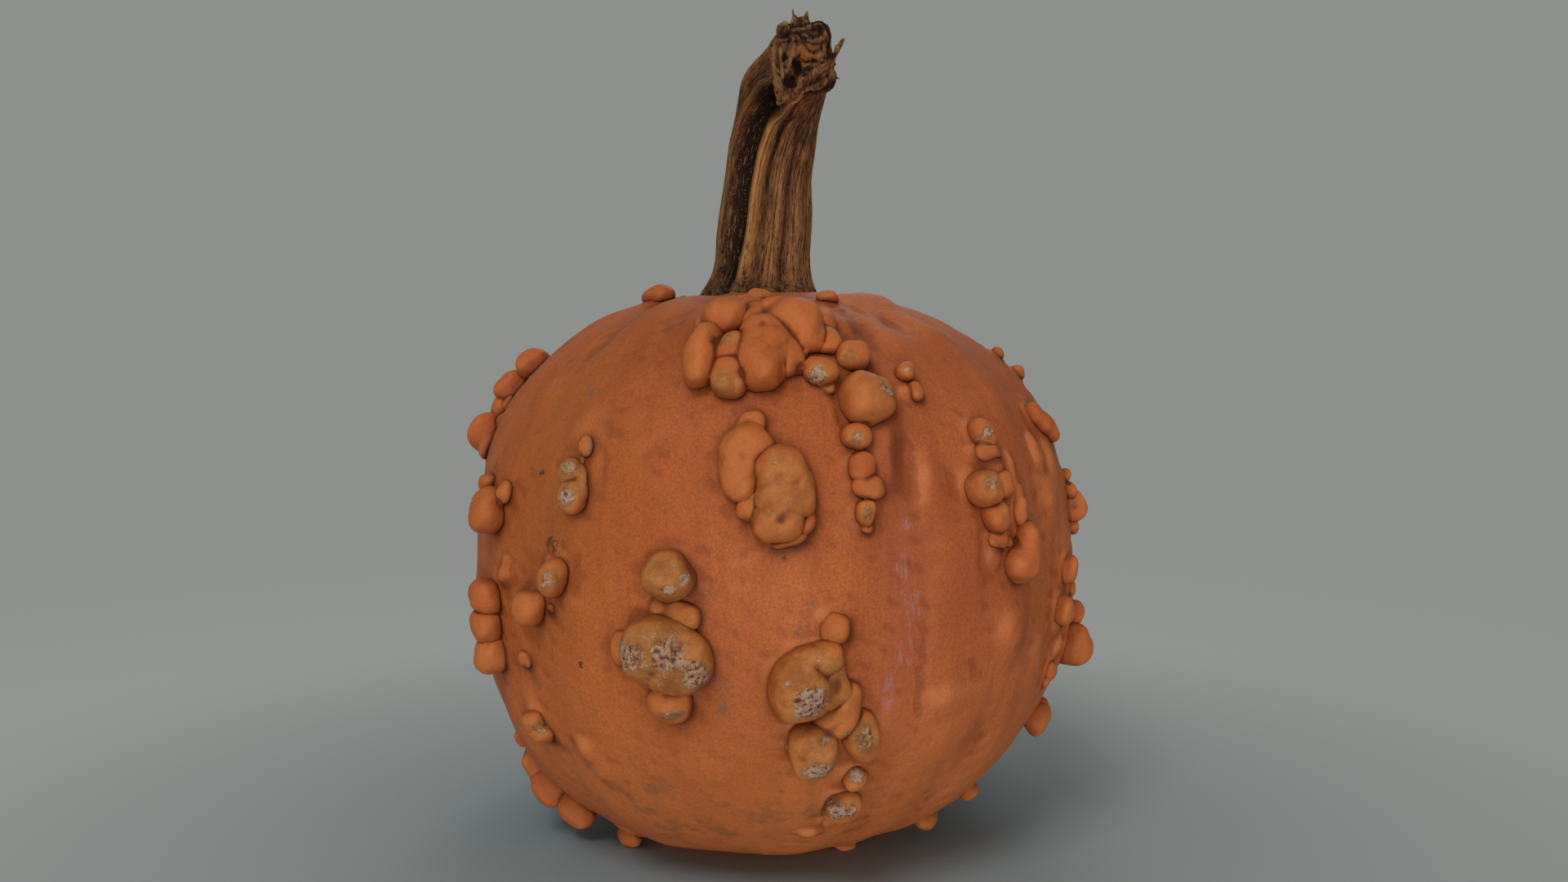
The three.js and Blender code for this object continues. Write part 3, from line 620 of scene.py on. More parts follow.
def paint_place(obj, azimuth, latitude):
    """Where on the squash each vertex is, for streaks and tints that follow the rind, and for painted
    light on its low front.
    """
    store_place(obj, "run", np.stack([
        np.sin(np.radians(azimuth)), np.cos(np.radians(azimuth)), latitude / 90], -1))
    store(obj, "olive", bell_round(azimuth, -38, 17) * bell(latitude - 14, 34))
    violet = bell_round(azimuth, 23, 6) + 0.8 * bell_round(azimuth, 38, 9)
    store(obj, "violet", violet * bell(latitude + 4, 38))
    # the low front: painted lighter, as if lit from below, and dirtier on the skin
    store(obj, "low", soft_step(-latitude, 8, 42) * bell_round(azimuth, -4, 60))


# ---------------------------------------------------------------- the knobs
class Lump:
    """Knobs that run softly into each other, with creases to every other lump."""

    def __init__(self, shapes, far):
        middles = np.array([middle for middle, _, _, _ in shapes])
        halves = np.array([half for _, _, half, _ in shapes])
        self.shapes = shapes
        self.far = far
        self.middle = middles.mean(axis=0)
        self.reach = (np.linalg.norm(middles - self.middle, axis=1) + halves.max(axis=1)).max()
        self.softness = LUMP_SOFTNESS * 2 * halves[:, :2].mean(axis=1).max()


def knob_shape(azimuth, latitude, width, height, turn, rise, seed):
    """A knob's middle, its axes as rows (across, along, out), its half sizes and its seed."""
    foot = rind_point(azimuth, latitude)
    east = unit(rind_point(azimuth + 0.5, latitude) - foot)
    north = rind_point(azimuth, latitude + 0.5) - foot
    out = unit(np.cross(east, north))
    lean = math.radians(turn)
    across = math.cos(lean) * east + math.sin(lean) * np.cross(out, east)
    depth = KNOB_DEPTH * (width + height) / 2 * rise
    middle = foot + out * KNOB_LIFT * depth / 2
    half = np.array([width, height, depth]) * KNOB_SWELL / 2
    return middle, np.array([across, np.cross(out, across), out]), half, seed


def cluster_places():
    """Each cluster's azimuth, latitude, knobs, scabs and hand: -1 for the mirrored far ones."""
    places = [(*cluster, 1) for cluster in CLUSTERS.values()]
    for k, kind in enumerate(FAR_KINDS):
        azimuth = FAR_AZIMUTH + FAR_WIDTH * (((k + 1) * GOLDEN) % 1)
        latitude = FAR_LATITUDE + FAR_HEIGHT * (k + 0.5) / len(FAR_KINDS)
        places.append((azimuth, latitude, *CLUSTERS[kind][2:], -1))
    return places


def beside(azimuth, latitude, east, north):
    """The azimuth and latitude some millimetres east and north of a place."""
    radius = float(rind_radius(np.float64(azimuth), np.float64(latitude)))
    up = latitude + math.degrees(north / radius)
    return azimuth + math.degrees(east / (radius * math.cos(math.radians(up)))), up


def plan_lumps():
    lumps = []
    seed = 100
    for azimuth, latitude, knobs, _, hand in cluster_places():
        groups = {}
        for east, north, width, height, turn, rise, lump in knobs:
            seed += 1
            if LEAST_RISE > rise > PAD_RISE:
                continue
            place = beside(azimuth, latitude, hand * east, north)
            shape = knob_shape(*place, width, height, hand * turn, rise, seed)
            groups.setdefault(lump, []).append(shape)
        lumps += [Lump(shapes, hand < 0) for shapes in groups.values()]
    return lumps


def knob_gap(points, shape):
    """How far points are outside one knob, and the way straight out of it."""
    middle, axes, half, seed = shape
    local = (points - middle) @ axes.T / half
    size = np.maximum(np.abs(local), 1e-4)
    reach = (size**KNOB_ROUNDNESS).sum(axis=1, keepdims=True) ** (1 / KNOB_ROUNDNESS)
    way = np.sign(local) * (size / reach) ** (KNOB_ROUNDNESS - 1) / half
    slope = np.linalg.norm(way, axis=1)
    lobes = 1 + KNOB_LOBES * ripple(local / reach, 1.9, seed, 5)
    return (reach[:, 0] - lobes) / slope, (way / slope[:, None]) @ axes


def merge(gap, way, other_gap, other_way, softness):
    """The outside of two shapes together, their joint rounded over the softness."""
    share = np.clip(0.5 + 0.5 * (other_gap - gap) / softness, 0, 1)
    joint = other_gap * (1 - share) + gap * share - softness * share * (1 - share)
    return joint, other_way * (1 - share)[:, None] + way * share[:, None]


def lump_gaps(points, lumps, margin):
    """How far points are outside all lumps, the way out, and which lump is nearest."""
    gap = np.full(len(points), FAR_AWAY)
    way = np.zeros_like(points)
    owner = np.zeros(len(points), dtype=int)
    for k, lump in enumerate(lumps):
        near = np.flatnonzero(((points - lump.middle) ** 2).sum(1) < (lump.reach + margin) ** 2)
        if not len(near):
            continue
        part, out = knob_gap(points[near], lump.shapes[0])
        for shape in lump.shapes[1:]:
            part, out = merge(part, out, *knob_gap(points[near], shape), lump.softness)
        owner[near[part < gap[near]]] = k
        gap[near], way[near] = merge(part, out, gap[near], way[near], CREASE)
    return gap, way, owner


def scab_masks(azimuth, latitude):
    """How thick and how pale the cork is at places on the rind."""
    cork, pale = np.zeros(len(azimuth)), np.zeros(len(azimuth))
    for at, up, _, scabs, hand in cluster_places():
        radius = float(rind_radius(np.float64(at), np.float64(up)))
        level = math.cos(math.radians(up))
        east = np.radians(turn_between(azimuth, at)) * level * radius
        north = np.radians(latitude - up) * radius
        for right, above, across, along, turn, thickness, paleness in scabs:
            lean = math.radians(hand * turn)
            dx, dy = east - hand * right, north - above
            aside = (dx * math.cos(lean) + dy * math.sin(lean)) / across
            ahead = (dy * math.cos(lean) - dx * math.sin(lean)) / along
            mask = thickness * (1 - soft_step(np.hypot(aside, ahead), 0.35, 1.25))
            over = mask > cork
            cork[over], pale[over] = mask[over], paleness
    return cork, pale


def make_ball(middle, half, axes=np.eye(3)):
    """A ball with its half sizes along its axes, which are rows."""
    bpy.ops.mesh.primitive_ico_sphere_add(subdivisions=3, radius=1)
    ball = bpy.context.object
    move_vertices(ball, (coordinates(ball) * half @ axes + middle) * MM)
    return ball


def make_knobs(name, lumps, voxel, count):
    shapes = [shape for lump in lumps for shape in lump.shapes]
    knobs = join([make_ball(middle, half, axes) for middle, axes, half, _ in shapes], name)
    apply_modifier(knobs, "REMESH", mode="VOXEL", voxel_size=voxel * MM)
    points = coordinates(knobs) / MM
    for _ in range(DRAW_STEPS):
        gap, way, _ = lump_gaps(points, lumps, KNOB_REACH)
        step = np.clip(gap, -DRAW_LIMIT, DRAW_LIMIT) * (gap < FAR_AWAY)
        points -= way * step[:, None]
    azimuth, latitude, _ = place_on_rind(points)
    cork, _ = scab_masks(azimuth, latitude)
    crust = soft_step(cork, 0.5, 0.9) * (CRUST_THICKNESS + ripples(points, CRUST_RIPPLES))
    points += way * (ripples(points, KNOB_RIPPLES) + crust)[:, None]
    azimuth, latitude, radius = place_on_rind(points)
    skin = rind_radius(azimuth, latitude) + skin_relief(azimuth, latitude)
    root = np.maximum(radius, skin - ROOT)
    points = lean_and_lift(rind_direction(azimuth, latitude) * root[:, None])
    points[:, 2] = np.maximum(points[:, 2], 0)
    move_vertices(knobs, points * MM)
    thin_to(knobs, count)
    smooth_faces(knobs)
    paint_knobs(knobs, lumps)
    return knobs


def paint_knobs(knobs, lumps):
    points = coordinates(knobs) / MM
    azimuth, latitude, radius = place_on_rind(points)
    cork, pale = scab_masks(azimuth, latitude)
    owner = lump_gaps(points, lumps, KNOB_REACH)[2]
    draw = np.random.default_rng(4).uniform(0, 1, len(lumps))
    height = radius - rind_radius(azimuth, latitude) - skin_relief(azimuth, latitude)
    store(knobs, "height", height - SKIN_RISE)
    store(knobs, "cork", cork)
    store(knobs, "pale", pale)
    store(knobs, "tone", draw[owner])
    # how far the surface stands out, how steep it is and which way it faces, for the painted light and
    # shade of the knobs
    store(knobs, "out", stand_out(knobs, 16))
    store(knobs, "deep", stand_out(knobs, 90))
    rind = rind_normal(azimuth, latitude)
    store(knobs, "steep", 1 - (normals(knobs) * rind).sum(1))
    store(knobs, "painted_shading", shade_facing_away(normals(knobs) - 0.5 * rind, 0.7, 0.15))
    paint_place(knobs, azimuth, latitude)


def make_fruit():
    lumps = plan_lumps()
    near = [lump for lump in lumps if not lump.far]
    far = [lump for lump in lumps if lump.far]
    return [make_skin(lumps), make_knobs("squash_knobs_front", near, NEAR_VOXEL, NEAR_TRIANGLES),
            make_knobs("squash_knobs_back", far, FAR_VOXEL, FAR_TRIANGLES)]


# ---------------------------------------------------------------- the stem
def stem_section(angle, along):
    """The stem's radius as a share of its full one, at angles round it and shares along it."""
    ridges = (height * bell_round(angle, at, half_width) for at, height, half_width in RIDGES)
    share = sum(ridges, STEM_CORE)
    at, deep, half_width = CLEFT
    share = share - deep * bell_round(angle, at, half_width) * soft_step(along, 0.04, 0.2)
    at, deep, half_width = GROOVE
    return share - deep * bell_round(angle, at, half_width) * bell(along - 0.62, 0.2)


def stem_fibres(angle, along):
    """Fine strands that run up the stem, about -1 to 1."""
    draw = np.random.default_rng(31)
    total = np.zeros(len(angle))
    for _ in range(STEM_FIBRES):
        strands = draw.integers(24, 95)
        drift = draw.uniform(-3, 3)
        wave = 0.6 * np.sin(along * draw.uniform(2, 9) + draw.uniform(0, 2 * math.pi))
        start = draw.uniform(0, 2 * math.pi)
        total += np.sin(np.radians(angle) * strands + drift * along + start + wave)
    return total / math.sqrt(STEM_FIBRES)


def stem_surface(angle, along, share):
    """Points of the stem at an angle round it, a share of the way along, and a radius."""
    line = along_spline(SPINE, along)
    step = 0.004
    ahead = unit(along_spline(SPINE, along + step)[:, :3] - along_spline(SPINE, along - step)[:, :3])
    side = unit(np.array([1.0, 0, 0]) - ahead * ahead[:, :1])
    back = np.cross(ahead, side)
    a = np.radians(angle)[:, None]
    reach = (line[:, 3] * share)[:, None]
    return line[:, :3] + reach * (side * np.cos(a) + back * np.sin(a))


def make_stem_shaft():
    bpy.ops.mesh.primitive_grid_add(x_subdivisions=STEM_AROUND, y_subdivisions=STEM_ALONG, size=1)
    shaft = bpy.context.object
    shaft.name = shaft.data.name = "stem_shaft"
    flat = coordinates(shaft)
    angle = (flat[:, 0] + 0.5) * 360
    along = flat[:, 1] + 0.5
    turned = angle - STEM_TWIST * along
    ways = np.stack([np.cos(np.radians(angle)), np.sin(np.radians(angle)), 5 * along], -1)
    plain = stem_section(turned, along)
    fibres = stem_fibres(turned, along)
    radius = along_spline(SPINE, along)[:, 3]
    knots = bell(along, 0.07) * ripple(ways * 20, 4.2, 35)
    fine = 0.14 * fibres + 0.35 * ripple(ways * 17, 16, 33) + 0.6 * knots
    move_vertices(shaft, stem_surface(angle, along, plain + fine / radius) * MM)
    store(shaft, "ridge", plain - STEM_CORE)
    store(shaft, "strand", fibres)
    store(shaft, "up", along)
    store(shaft, "shade", bell_round(turned, 196, 34))
    store(shaft, "crest", bell_round(turned, 244, 7) * soft_step(along, 0.02, 0.2))
    # paler bands on two ridges, and painted shade in two grooves, toward the foot
    pale = 0.9 * bell_round(turned, 275, 5) + bell_round(turned, 315, 15)
    groove_shade = bell_round(turned, 290, 5) + 0.5 * bell_round(turned, 259, 6)
    store(shaft, "pale", pale * soft_step(-along, -0.66, -0.2))
    store(shaft, "groove_shade", groove_shade * soft_step(-along, -0.9, -0.4))
    store_place(shaft, "grain", np.stack([
        16 * np.cos(np.radians(turned)), 16 * np.sin(np.radians(turned)), 90 * along], -1))
    pick(shaft)
    bpy.ops.object.mode_set(mode="EDIT")
    bpy.ops.mesh.select_all(action="SELECT")
    bpy.ops.mesh.remove_doubles(threshold=0.02 * MM)
    bpy.ops.mesh.fill_holes(sides=0)
    bpy.ops.mesh.select_all(action="SELECT")
    bpy.ops.mesh.normals_make_consistent(inside=False)
    bpy.ops.object.mode_set(mode="OBJECT")
    smooth_faces(shaft)
    store(shaft, "out", stand_out(shaft, 10))
    return shaft


def torn_front(x, z):
    """How far forward the lumps reach at a place of the face."""
    fronts = [TORN_BACK]
    for mid_x, mid_y, mid_z, across, deep, high in TORN_LUMPS:
        inside = 1 - ((x - mid_x) / across) ** 2 - ((z - mid_z) / high) ** 2
        if inside > 0:
            fronts.append(mid_y - deep * math.sqrt(inside))
    return min(fronts)


def make_beads(radius, points):
    """A narrow roll along some points, thinner toward its ends."""
    beads = []
    for k, point in enumerate(points):
        thick = radius * (0.55 + 0.45 * math.sin(math.pi * k / (len(points) - 1)))
        beads.append(make_ball(point, thick))
    return beads


def fold_line(radius, path):
    """Where the middle of a fold runs, half sunk in the lumps it crosses."""
    line = along_spline(path, np.linspace(0, 1, FOLD_BEADS * len(path)))
    return [(x, torn_front(x, z) + 0.2 * radius, z) for x, z in line]


def beside_folds(points):
    """How far points are from the nearest fold's middle, in its thicknesses and up to 9."""
    apart = np.full(len(points), 9.0)
    for radius, path in TORN_FOLDS:
        for middle in fold_line(radius, path):
            apart = np.minimum(apart, np.linalg.norm(points - middle, axis=1) / radius)
    return apart


def pit_depth(points):
    """How deep each point of the face lies in a pit, in millimetres."""
    x, y, z = (points + 0.5 * warp(points, 3.4, (67, 68, 69))).T
    depth = 0 * x
    for mid_x, mid_z, across, high, deep in TORN_PITS:
        depth += deep * np.exp(-(((x - mid_x) / across) ** 2) - ((z - mid_z) / high) ** 2)
    return depth * np.clip((TORN_FACE - y) / PIT_FADE, 0, 1)


def make_thorn(foot, tip, radius):
    foot, tip = Vector(foot), Vector(tip)
    along = tip - foot
    bpy.ops.mesh.primitive_cone_add(vertices=12, radius1=radius * MM, radius2=0.2 * MM,
                                    depth=along.length * MM)
    cone = bpy.context.object
    turn = Vector((0, 0, 1)).rotation_difference(along)
    cone.data.transform(turn.to_matrix().to_4x4())
    move_vertices(cone, coordinates(cone) + np.array((foot + tip) / 2 * MM))
    cone.location = (0, 0, 0)
    return cone


def crumple(points):
    """How far the dried, torn face is pushed out or in, in millimetres."""
    bent = (points + 1.3 * warp(points, 7, (61, 62, 63))) * (1.25, 1, 0.55)
    folds = sum(height * (0.6 - np.abs(ripple(bent, *kind))) for height, *kind in TORN_RIPPLES)
    return folds - pit_depth(points)


def make_torn_end():
    pieces = [make_ball(lump[:3], lump[3:]) for lump in TORN_LUMPS]
    for radius, path in TORN_FOLDS:
        pieces += make_beads(radius, fold_line(radius, path))
    radius, path = STUB
    pieces += make_beads(radius, along_spline(path, np.linspace(0, 1, STUB_BEADS)))
    pieces += [make_thorn(*thorn) for thorn in THORNS]
    end = join(pieces, "stem_torn_end")
    apply_modifier(end, "REMESH", mode="VOXEL", voxel_size=TORN_VOXEL * MM)
    apply_modifier(end, "SMOOTH", factor=0.5, iterations=5)
    points = coordinates(end) / MM
    slim = np.abs(stand_out(end, 25)) / 0.7
    push = crumple(points) * (1 - 0.8 * np.clip(slim, 0, 1))
    # for the painted shadow beside the folds, the highlight on them and the shade in the pits
    store(end, "fold", beside_folds(points))
    store(end, "pit", pit_depth(points))
    move_vertices(end, (points + normals(end) * push[:, None]) * MM)
    apply_modifier(end, "SMOOTH", factor=0.5, iterations=2)
    smooth_faces(end)
    # for painted highlight and shade
    store(end, "out", stand_out(end, 10))
    store(end, "deep", stand_out(end, 60))
    return end


# ---------------------------------------------------------------- colours and finishes
def colour(red, green, blue):
    """A screen colour, 0 to 255, in the linear light that materials are mixed in."""
    def linear(value):
        value /= 255
        return value / 12.92 if value <= 0.04045 else ((value + 0.055) / 1.055) ** 2.4
    return linear(red), linear(green), linear(blue), 1.0


class Finish:
    """One material. Its pattern is built from a few kinds of node and laid on coat by coat."""

    def __init__(self, name):
        self.material = bpy.data.materials.new(name)
        self.material.use_nodes = True
        self.tree = self.material.node_tree
        self.shader = self.tree.nodes["Principled BSDF"]
        self.place = self.tree.nodes.new("ShaderNodeTexCoord").outputs["Object"]

    def give(self, socket, value):
        if isinstance(value, bpy.types.NodeSocket):
            self.tree.links.new(value, socket)
        else:
            socket.default_value = value

    def add(self, kind, inputs, **settings):
        """The outputs of a new node, whose inputs are given by name or number."""
        node = self.tree.nodes.new("ShaderNode" + kind)
        for name, value in settings.items():
            setattr(node, name, value)
        for name, value in inputs.items():
            self.give(node.inputs[name], value)
        return node.outputs

    def stored(self, name, kind="Fac"):
        return self.add("Attribute", {}, attribute_name=name)[kind]

    def noise(self, scale, detail, roughness, distortion=0, at=None):
        return self.add("TexNoise", {
            "Vector": at or self.place, "Scale": scale, "Detail": detail,
            "Roughness": roughness, "Distortion": distortion})["Fac"]

    def cells(self, scale):
        return self.add("TexVoronoi", {"Vector": self.place, "Scale": scale})["Distance"]

    def band(self, value, low, high, at_high=1, at_low=0):
        """Eases from one number to the other while the value goes from low to high."""
        return self.add("MapRange", {
            "Value": value, "From Min": low, "From Max": high, "To Min": at_low,
            "To Max": at_high}, interpolation_type="SMOOTHSTEP")["Result"]

    def maths(self, operation, *values):
        """The first value worked on with each of the others in turn."""
        total = values[0]
        for value in values[1:]:
            total = self.add("Math", {0: total, 1: value}, operation=operation)[0]
        return total

    def plus(self, *values):
        return self.maths("ADD", *values)

    def times(self, *values):
        return self.maths("MULTIPLY", *values)

    def mix(self, amount, under, over):
        return self.add("Mix", {"Factor": amount, "A": under, "B": over}, data_type="RGBA")["Result"]

    def stretch(self, vector, scale):
        return self.add("Mapping", {"Vector": vector, "Scale": scale})["Vector"]

    def length(self, vector):
        return self.add("VectorMath", {0: vector}, operation="LENGTH")["Value"]

    def near(self, centre, reach):
        """1 at a place on the squash, in millimetres, falling to 0 at the reach round it."""
        offset = self.add("Mapping", {
            "Vector": self.place, "Location": [-c / r for c, r in zip(centre, reach)],
            "Scale": [1 / (r * MM) for r in reach]})["Vector"]
        return self.band(self.length(offset), 0.4, 1, 0, 1)

    def lay(self, amount, over):
        """Covers the base, which is what the finish shows so far, with a colour or a pattern."""
        self.base = self.mix(amount, self.base, over)

    def coat(self, amount, red, green, blue):
        self.lay(amount, colour(red, green, blue))

    def finish(self, roughness, height, bump, distance, gloss):
        self.give(self.shader.inputs["Base Color"], self.base)
        self.give(self.shader.inputs["Roughness"], roughness)
        self.give(self.shader.inputs["Specular IOR Level"], gloss)
        grain = self.add("Bump", {"Strength": bump, "Distance": distance * MM, "Height": height})
        self.give(self.shader.inputs["Normal"], grain["Normal"])
        return self.material


def fresh_rind(f):
    """Lays on the orange that skin and knobs share: mottles, streaks, grain and tints."""
    run = f.stored("run", "Vector")
    mottles = f.band(f.noise(18, 4, 0.55), 0.34, 0.66)
    f.base = f.mix(mottles, colour(180, 91, 43), colour(194, 104, 52))
    streaks = f.noise(9, 5, 0.65, at=f.stretch(run, (1.7, 1.7, 0.25)))
    f.coat(f.band(streaks, 0.38, 0.68, 0.4), 160, 74, 36)
    f.coat(f.band(f.noise(60, 4, 0.65), 0.5, 0.72, 0.14), 206, 116, 64)
    f.coat(f.band(f.noise(170, 5, 0.7), 0.5, 0.34, 0.08), 140, 66, 34)
    f.coat(f.band(f.noise(1500, 3, 0.7), 0.62, 0.36, 0.36), 112, 48, 22)
    f.coat(f.band(f.noise(2200, 2, 0.6), 0.52, 0.72, 0.2), 220, 138, 84)
    f.coat(f.times(f.stored("olive"), 0.3), 156, 96, 36)
    f.coat(f.times(f.stored("violet"), 0.22), 158, 86, 72)


def curls(f, scale, width, at=None):
    """Thin wandering lines: 1 on a line, 0 off it."""
    wander = f.maths("ABSOLUTE", f.maths("SUBTRACT", f.noise(scale, 2, 0.55, 0.9, at), 0.5), 0)
    return f.band(wander, width, width * 0.25)


def pebble(f):
    """The rind's fine grain, as a height for its bump."""
    return f.plus(f.noise(900, 3, 0.6), f.times(f.noise(260, 3, 0.6), 1.6),
                  f.times(f.cells(520), -0.5))


# The rind's bump: its strength, its depth in millimetres, and the gloss over it.
RIND_GRAIN = (0.34, 0.45, 0.18)

# Marks of the skin: azimuth, latitude and half sizes in millimetres.
SCRATCHES = [
    (22.7, -0.4, 4, 9), (24.5, -6.5, 3.6, 8), (23.2, -12.5, 3.4, 8), (20.5, -18.5, 2.6, 8),
    (24, 8, 2, 6),
]
FLECKS = [(-35, 5.1, 2.2, 2.4), (-29.5, -13.5, 0.9, 1), (-39, 17, 0.9, 0.9), (4.8, 2.8, 0.7, 1)]
SMUDGES = [
    (-12.1, -23, 2.8, 2.2), (-5.1, -16.1, 2.4, 4), (-5.6, -19.4, 2.4, 3.6), (7.9, -4.2, 3, 3.4),
    (7.2, -7.9, 3.6, 2.6), (-6.6, -2.4, 3.4, 2.6), (-2.6, -7.5, 2.4, 2.4), (-7.3, -11.9, 1.8, 2),
    (3.7, -30.2, 3.4, 2.6), (-3.2, -24.3, 3, 2.4), (-22.3, -34.8, 4.4, 3.4), (-25.8, -39.3, 5, 3),
    (-23.1, -44.9, 6, 3), (10.4, -38, 5, 4.4), (-31, 31, 4, 3),
]


def skin_finish():
    f = Finish("squash_skin")
    fresh_rind(f)
    # painted light on the low front; then real dirt there
    f.coat(f.times(f.stored("low"), 0.35), 208, 124, 68)
    dirt = f.band(f.noise(120, 5, 0.7), 0.5, 0.66)
    f.coat(f.times(f.stored("low"), dirt, 0.5), 120, 78, 52)
    ragged = f.noise(330, 5, 0.75)
    for azimuth, latitude, wide, tall in SMUDGES:
        spot = f.near(rind_point(azimuth, latitude), (wide, 9, tall))
        f.coat(f.times(spot, f.band(ragged, 0.46, 0.6), 0.7), 112, 90, 68)
    for azimuth, latitude, wide, tall in FLECKS:
        spot = f.near(rind_point(azimuth, latitude), (1.5 * wide, 6, 1.5 * tall))
        spot = f.times(spot, f.band(f.noise(900, 4, 0.75), 0.4, 0.56))
        f.coat(f.band(spot, 0.3, 0.5, 0.88), 66, 44, 32)
    hairs = curls(f, 700, 0.075, f.stretch(f.place, (1, 1, 0.1)))
    hairs = f.times(hairs, f.band(f.noise(220, 3, 0.6), 0.42, 0.54))
    for azimuth, latitude, wide, tall in SCRATCHES:
        spot = f.near(rind_point(azimuth, latitude), (wide, 5, tall))
        f.coat(f.times(spot, hairs, 0.6), 172, 120, 126)
    # lighter on the swellings, and painted shade in the dents
    swell = f.stored("swell")
    f.coat(f.band(swell, 0.5, 2.4, 0.2), 210, 118, 64)
    f.coat(f.band(swell, -0.3, -1.8, 0.35), 120, 58, 30)
    # painted light where the relief faces the light, painted shade where it faces away
    painted_shading = f.stored("painted_shading")
    f.coat(f.band(painted_shading, -0.02, -0.3, 0.5), 222, 134, 80)
    f.coat(f.band(painted_shading, 0.04, 0.42, 0.7), 98, 41, 21)
    # painted shade beside the knobs, a painted dark line at their foot, and painted shade in hollows
    f.coat(f.times(f.stored("beside"), 0.5), 120, 50, 24)
    f.coat(f.times(f.stored("knob_foot_shade"), 0.85), 66, 25, 13)
    f.coat(f.band(f.stored("out"), -0.01, -0.1, 0.35), 116, 50, 27)
    return f.finish(0.6, pebble(f), *RIND_GRAIN)


def knob_finish():
    f = Finish("squash_knobs")
    cork, pale, out = f.stored("cork"), f.stored("pale"), f.stored("out")
    fresh_rind(f)
    f.lay(0.45, f.mix(f.stored("tone"), colour(188, 94, 45), colour(210, 124, 62)))
    # painted light on the low front
    f.coat(f.times(f.stored("low"), 0.35), 216, 138, 74)
    tan = f.mix(f.band(f.noise(150, 5, 0.7), 0.36, 0.64), colour(140, 88, 43), colour(196, 128, 62))
    f.lay(f.band(cork, 0.03, 0.5, 0.82), tan)

    # the scabs: a ragged stain with a pale crust on it
    patchy = f.times(f.maths("SUBTRACT", f.noise(300, 6, 0.75, 0.7), 0.5), 2.6)
    grit = f.noise(1500, 3, 0.8)
    ragged = f.plus(f.times(cork, 0.9), patchy, f.times(f.maths("SUBTRACT", grit, 0.5), 1.5))
    f.coat(f.times(f.band(f.plus(cork, f.times(patchy, 0.5)), 0.3, 0.8), 0.6), 106, 72, 44)
    white = f.mix(pale, colour(152, 118, 84), colour(180, 152, 134))
    crust = f.mix(f.band(grit, 0.34, 0.54), colour(118, 84, 56), white)
    palest = f.mix(pale, colour(190, 156, 118), colour(200, 178, 166))
    crust = f.mix(f.times(curls(f, 900, 0.07), 0.6), crust, palest)
    f.lay(f.times(f.band(ragged, 0.58, 0.84), f.band(cork, 0.16, 0.4), 0.84), crust)
    f.lay(f.times(f.band(f.cells(900), 0.3, 0.12), f.band(cork, 0.04, 0.3), 0.5), white)

    # painted light and shade: lighter tops, and painted shade in the creases, on the steep sides, on the
    # side away from the light and toward the foot
    deep = f.stored("deep")
    f.coat(f.band(deep, 0.5, 1, 0.3), 218, 132, 70)
    f.coat(f.band(deep, 0.25, -0.35, 0.66), 104, 41, 20)
    f.coat(f.band(f.stored("steep"), 0.25, 1, 0.36), 120, 50, 24)
    painted_shading = f.stored("painted_shading")
    f.coat(f.band(painted_shading, 0.6, 1.1, 0.18), 100, 42, 21)
    f.coat(f.band(out, 0.04, -0.12, 0.8), 84, 33, 17)
    height = f.stored("height")
    f.coat(f.times(f.band(height, 2.8, 0.2, 0.6), painted_shading), 120, 49, 23)
    f.coat(f.times(f.band(height, 0.8, 0), painted_shading), 46, 18, 10)
    return f.finish(f.band(cork, 0.2, 0.8, 0.85, 0.58), pebble(f), *RIND_GRAIN)


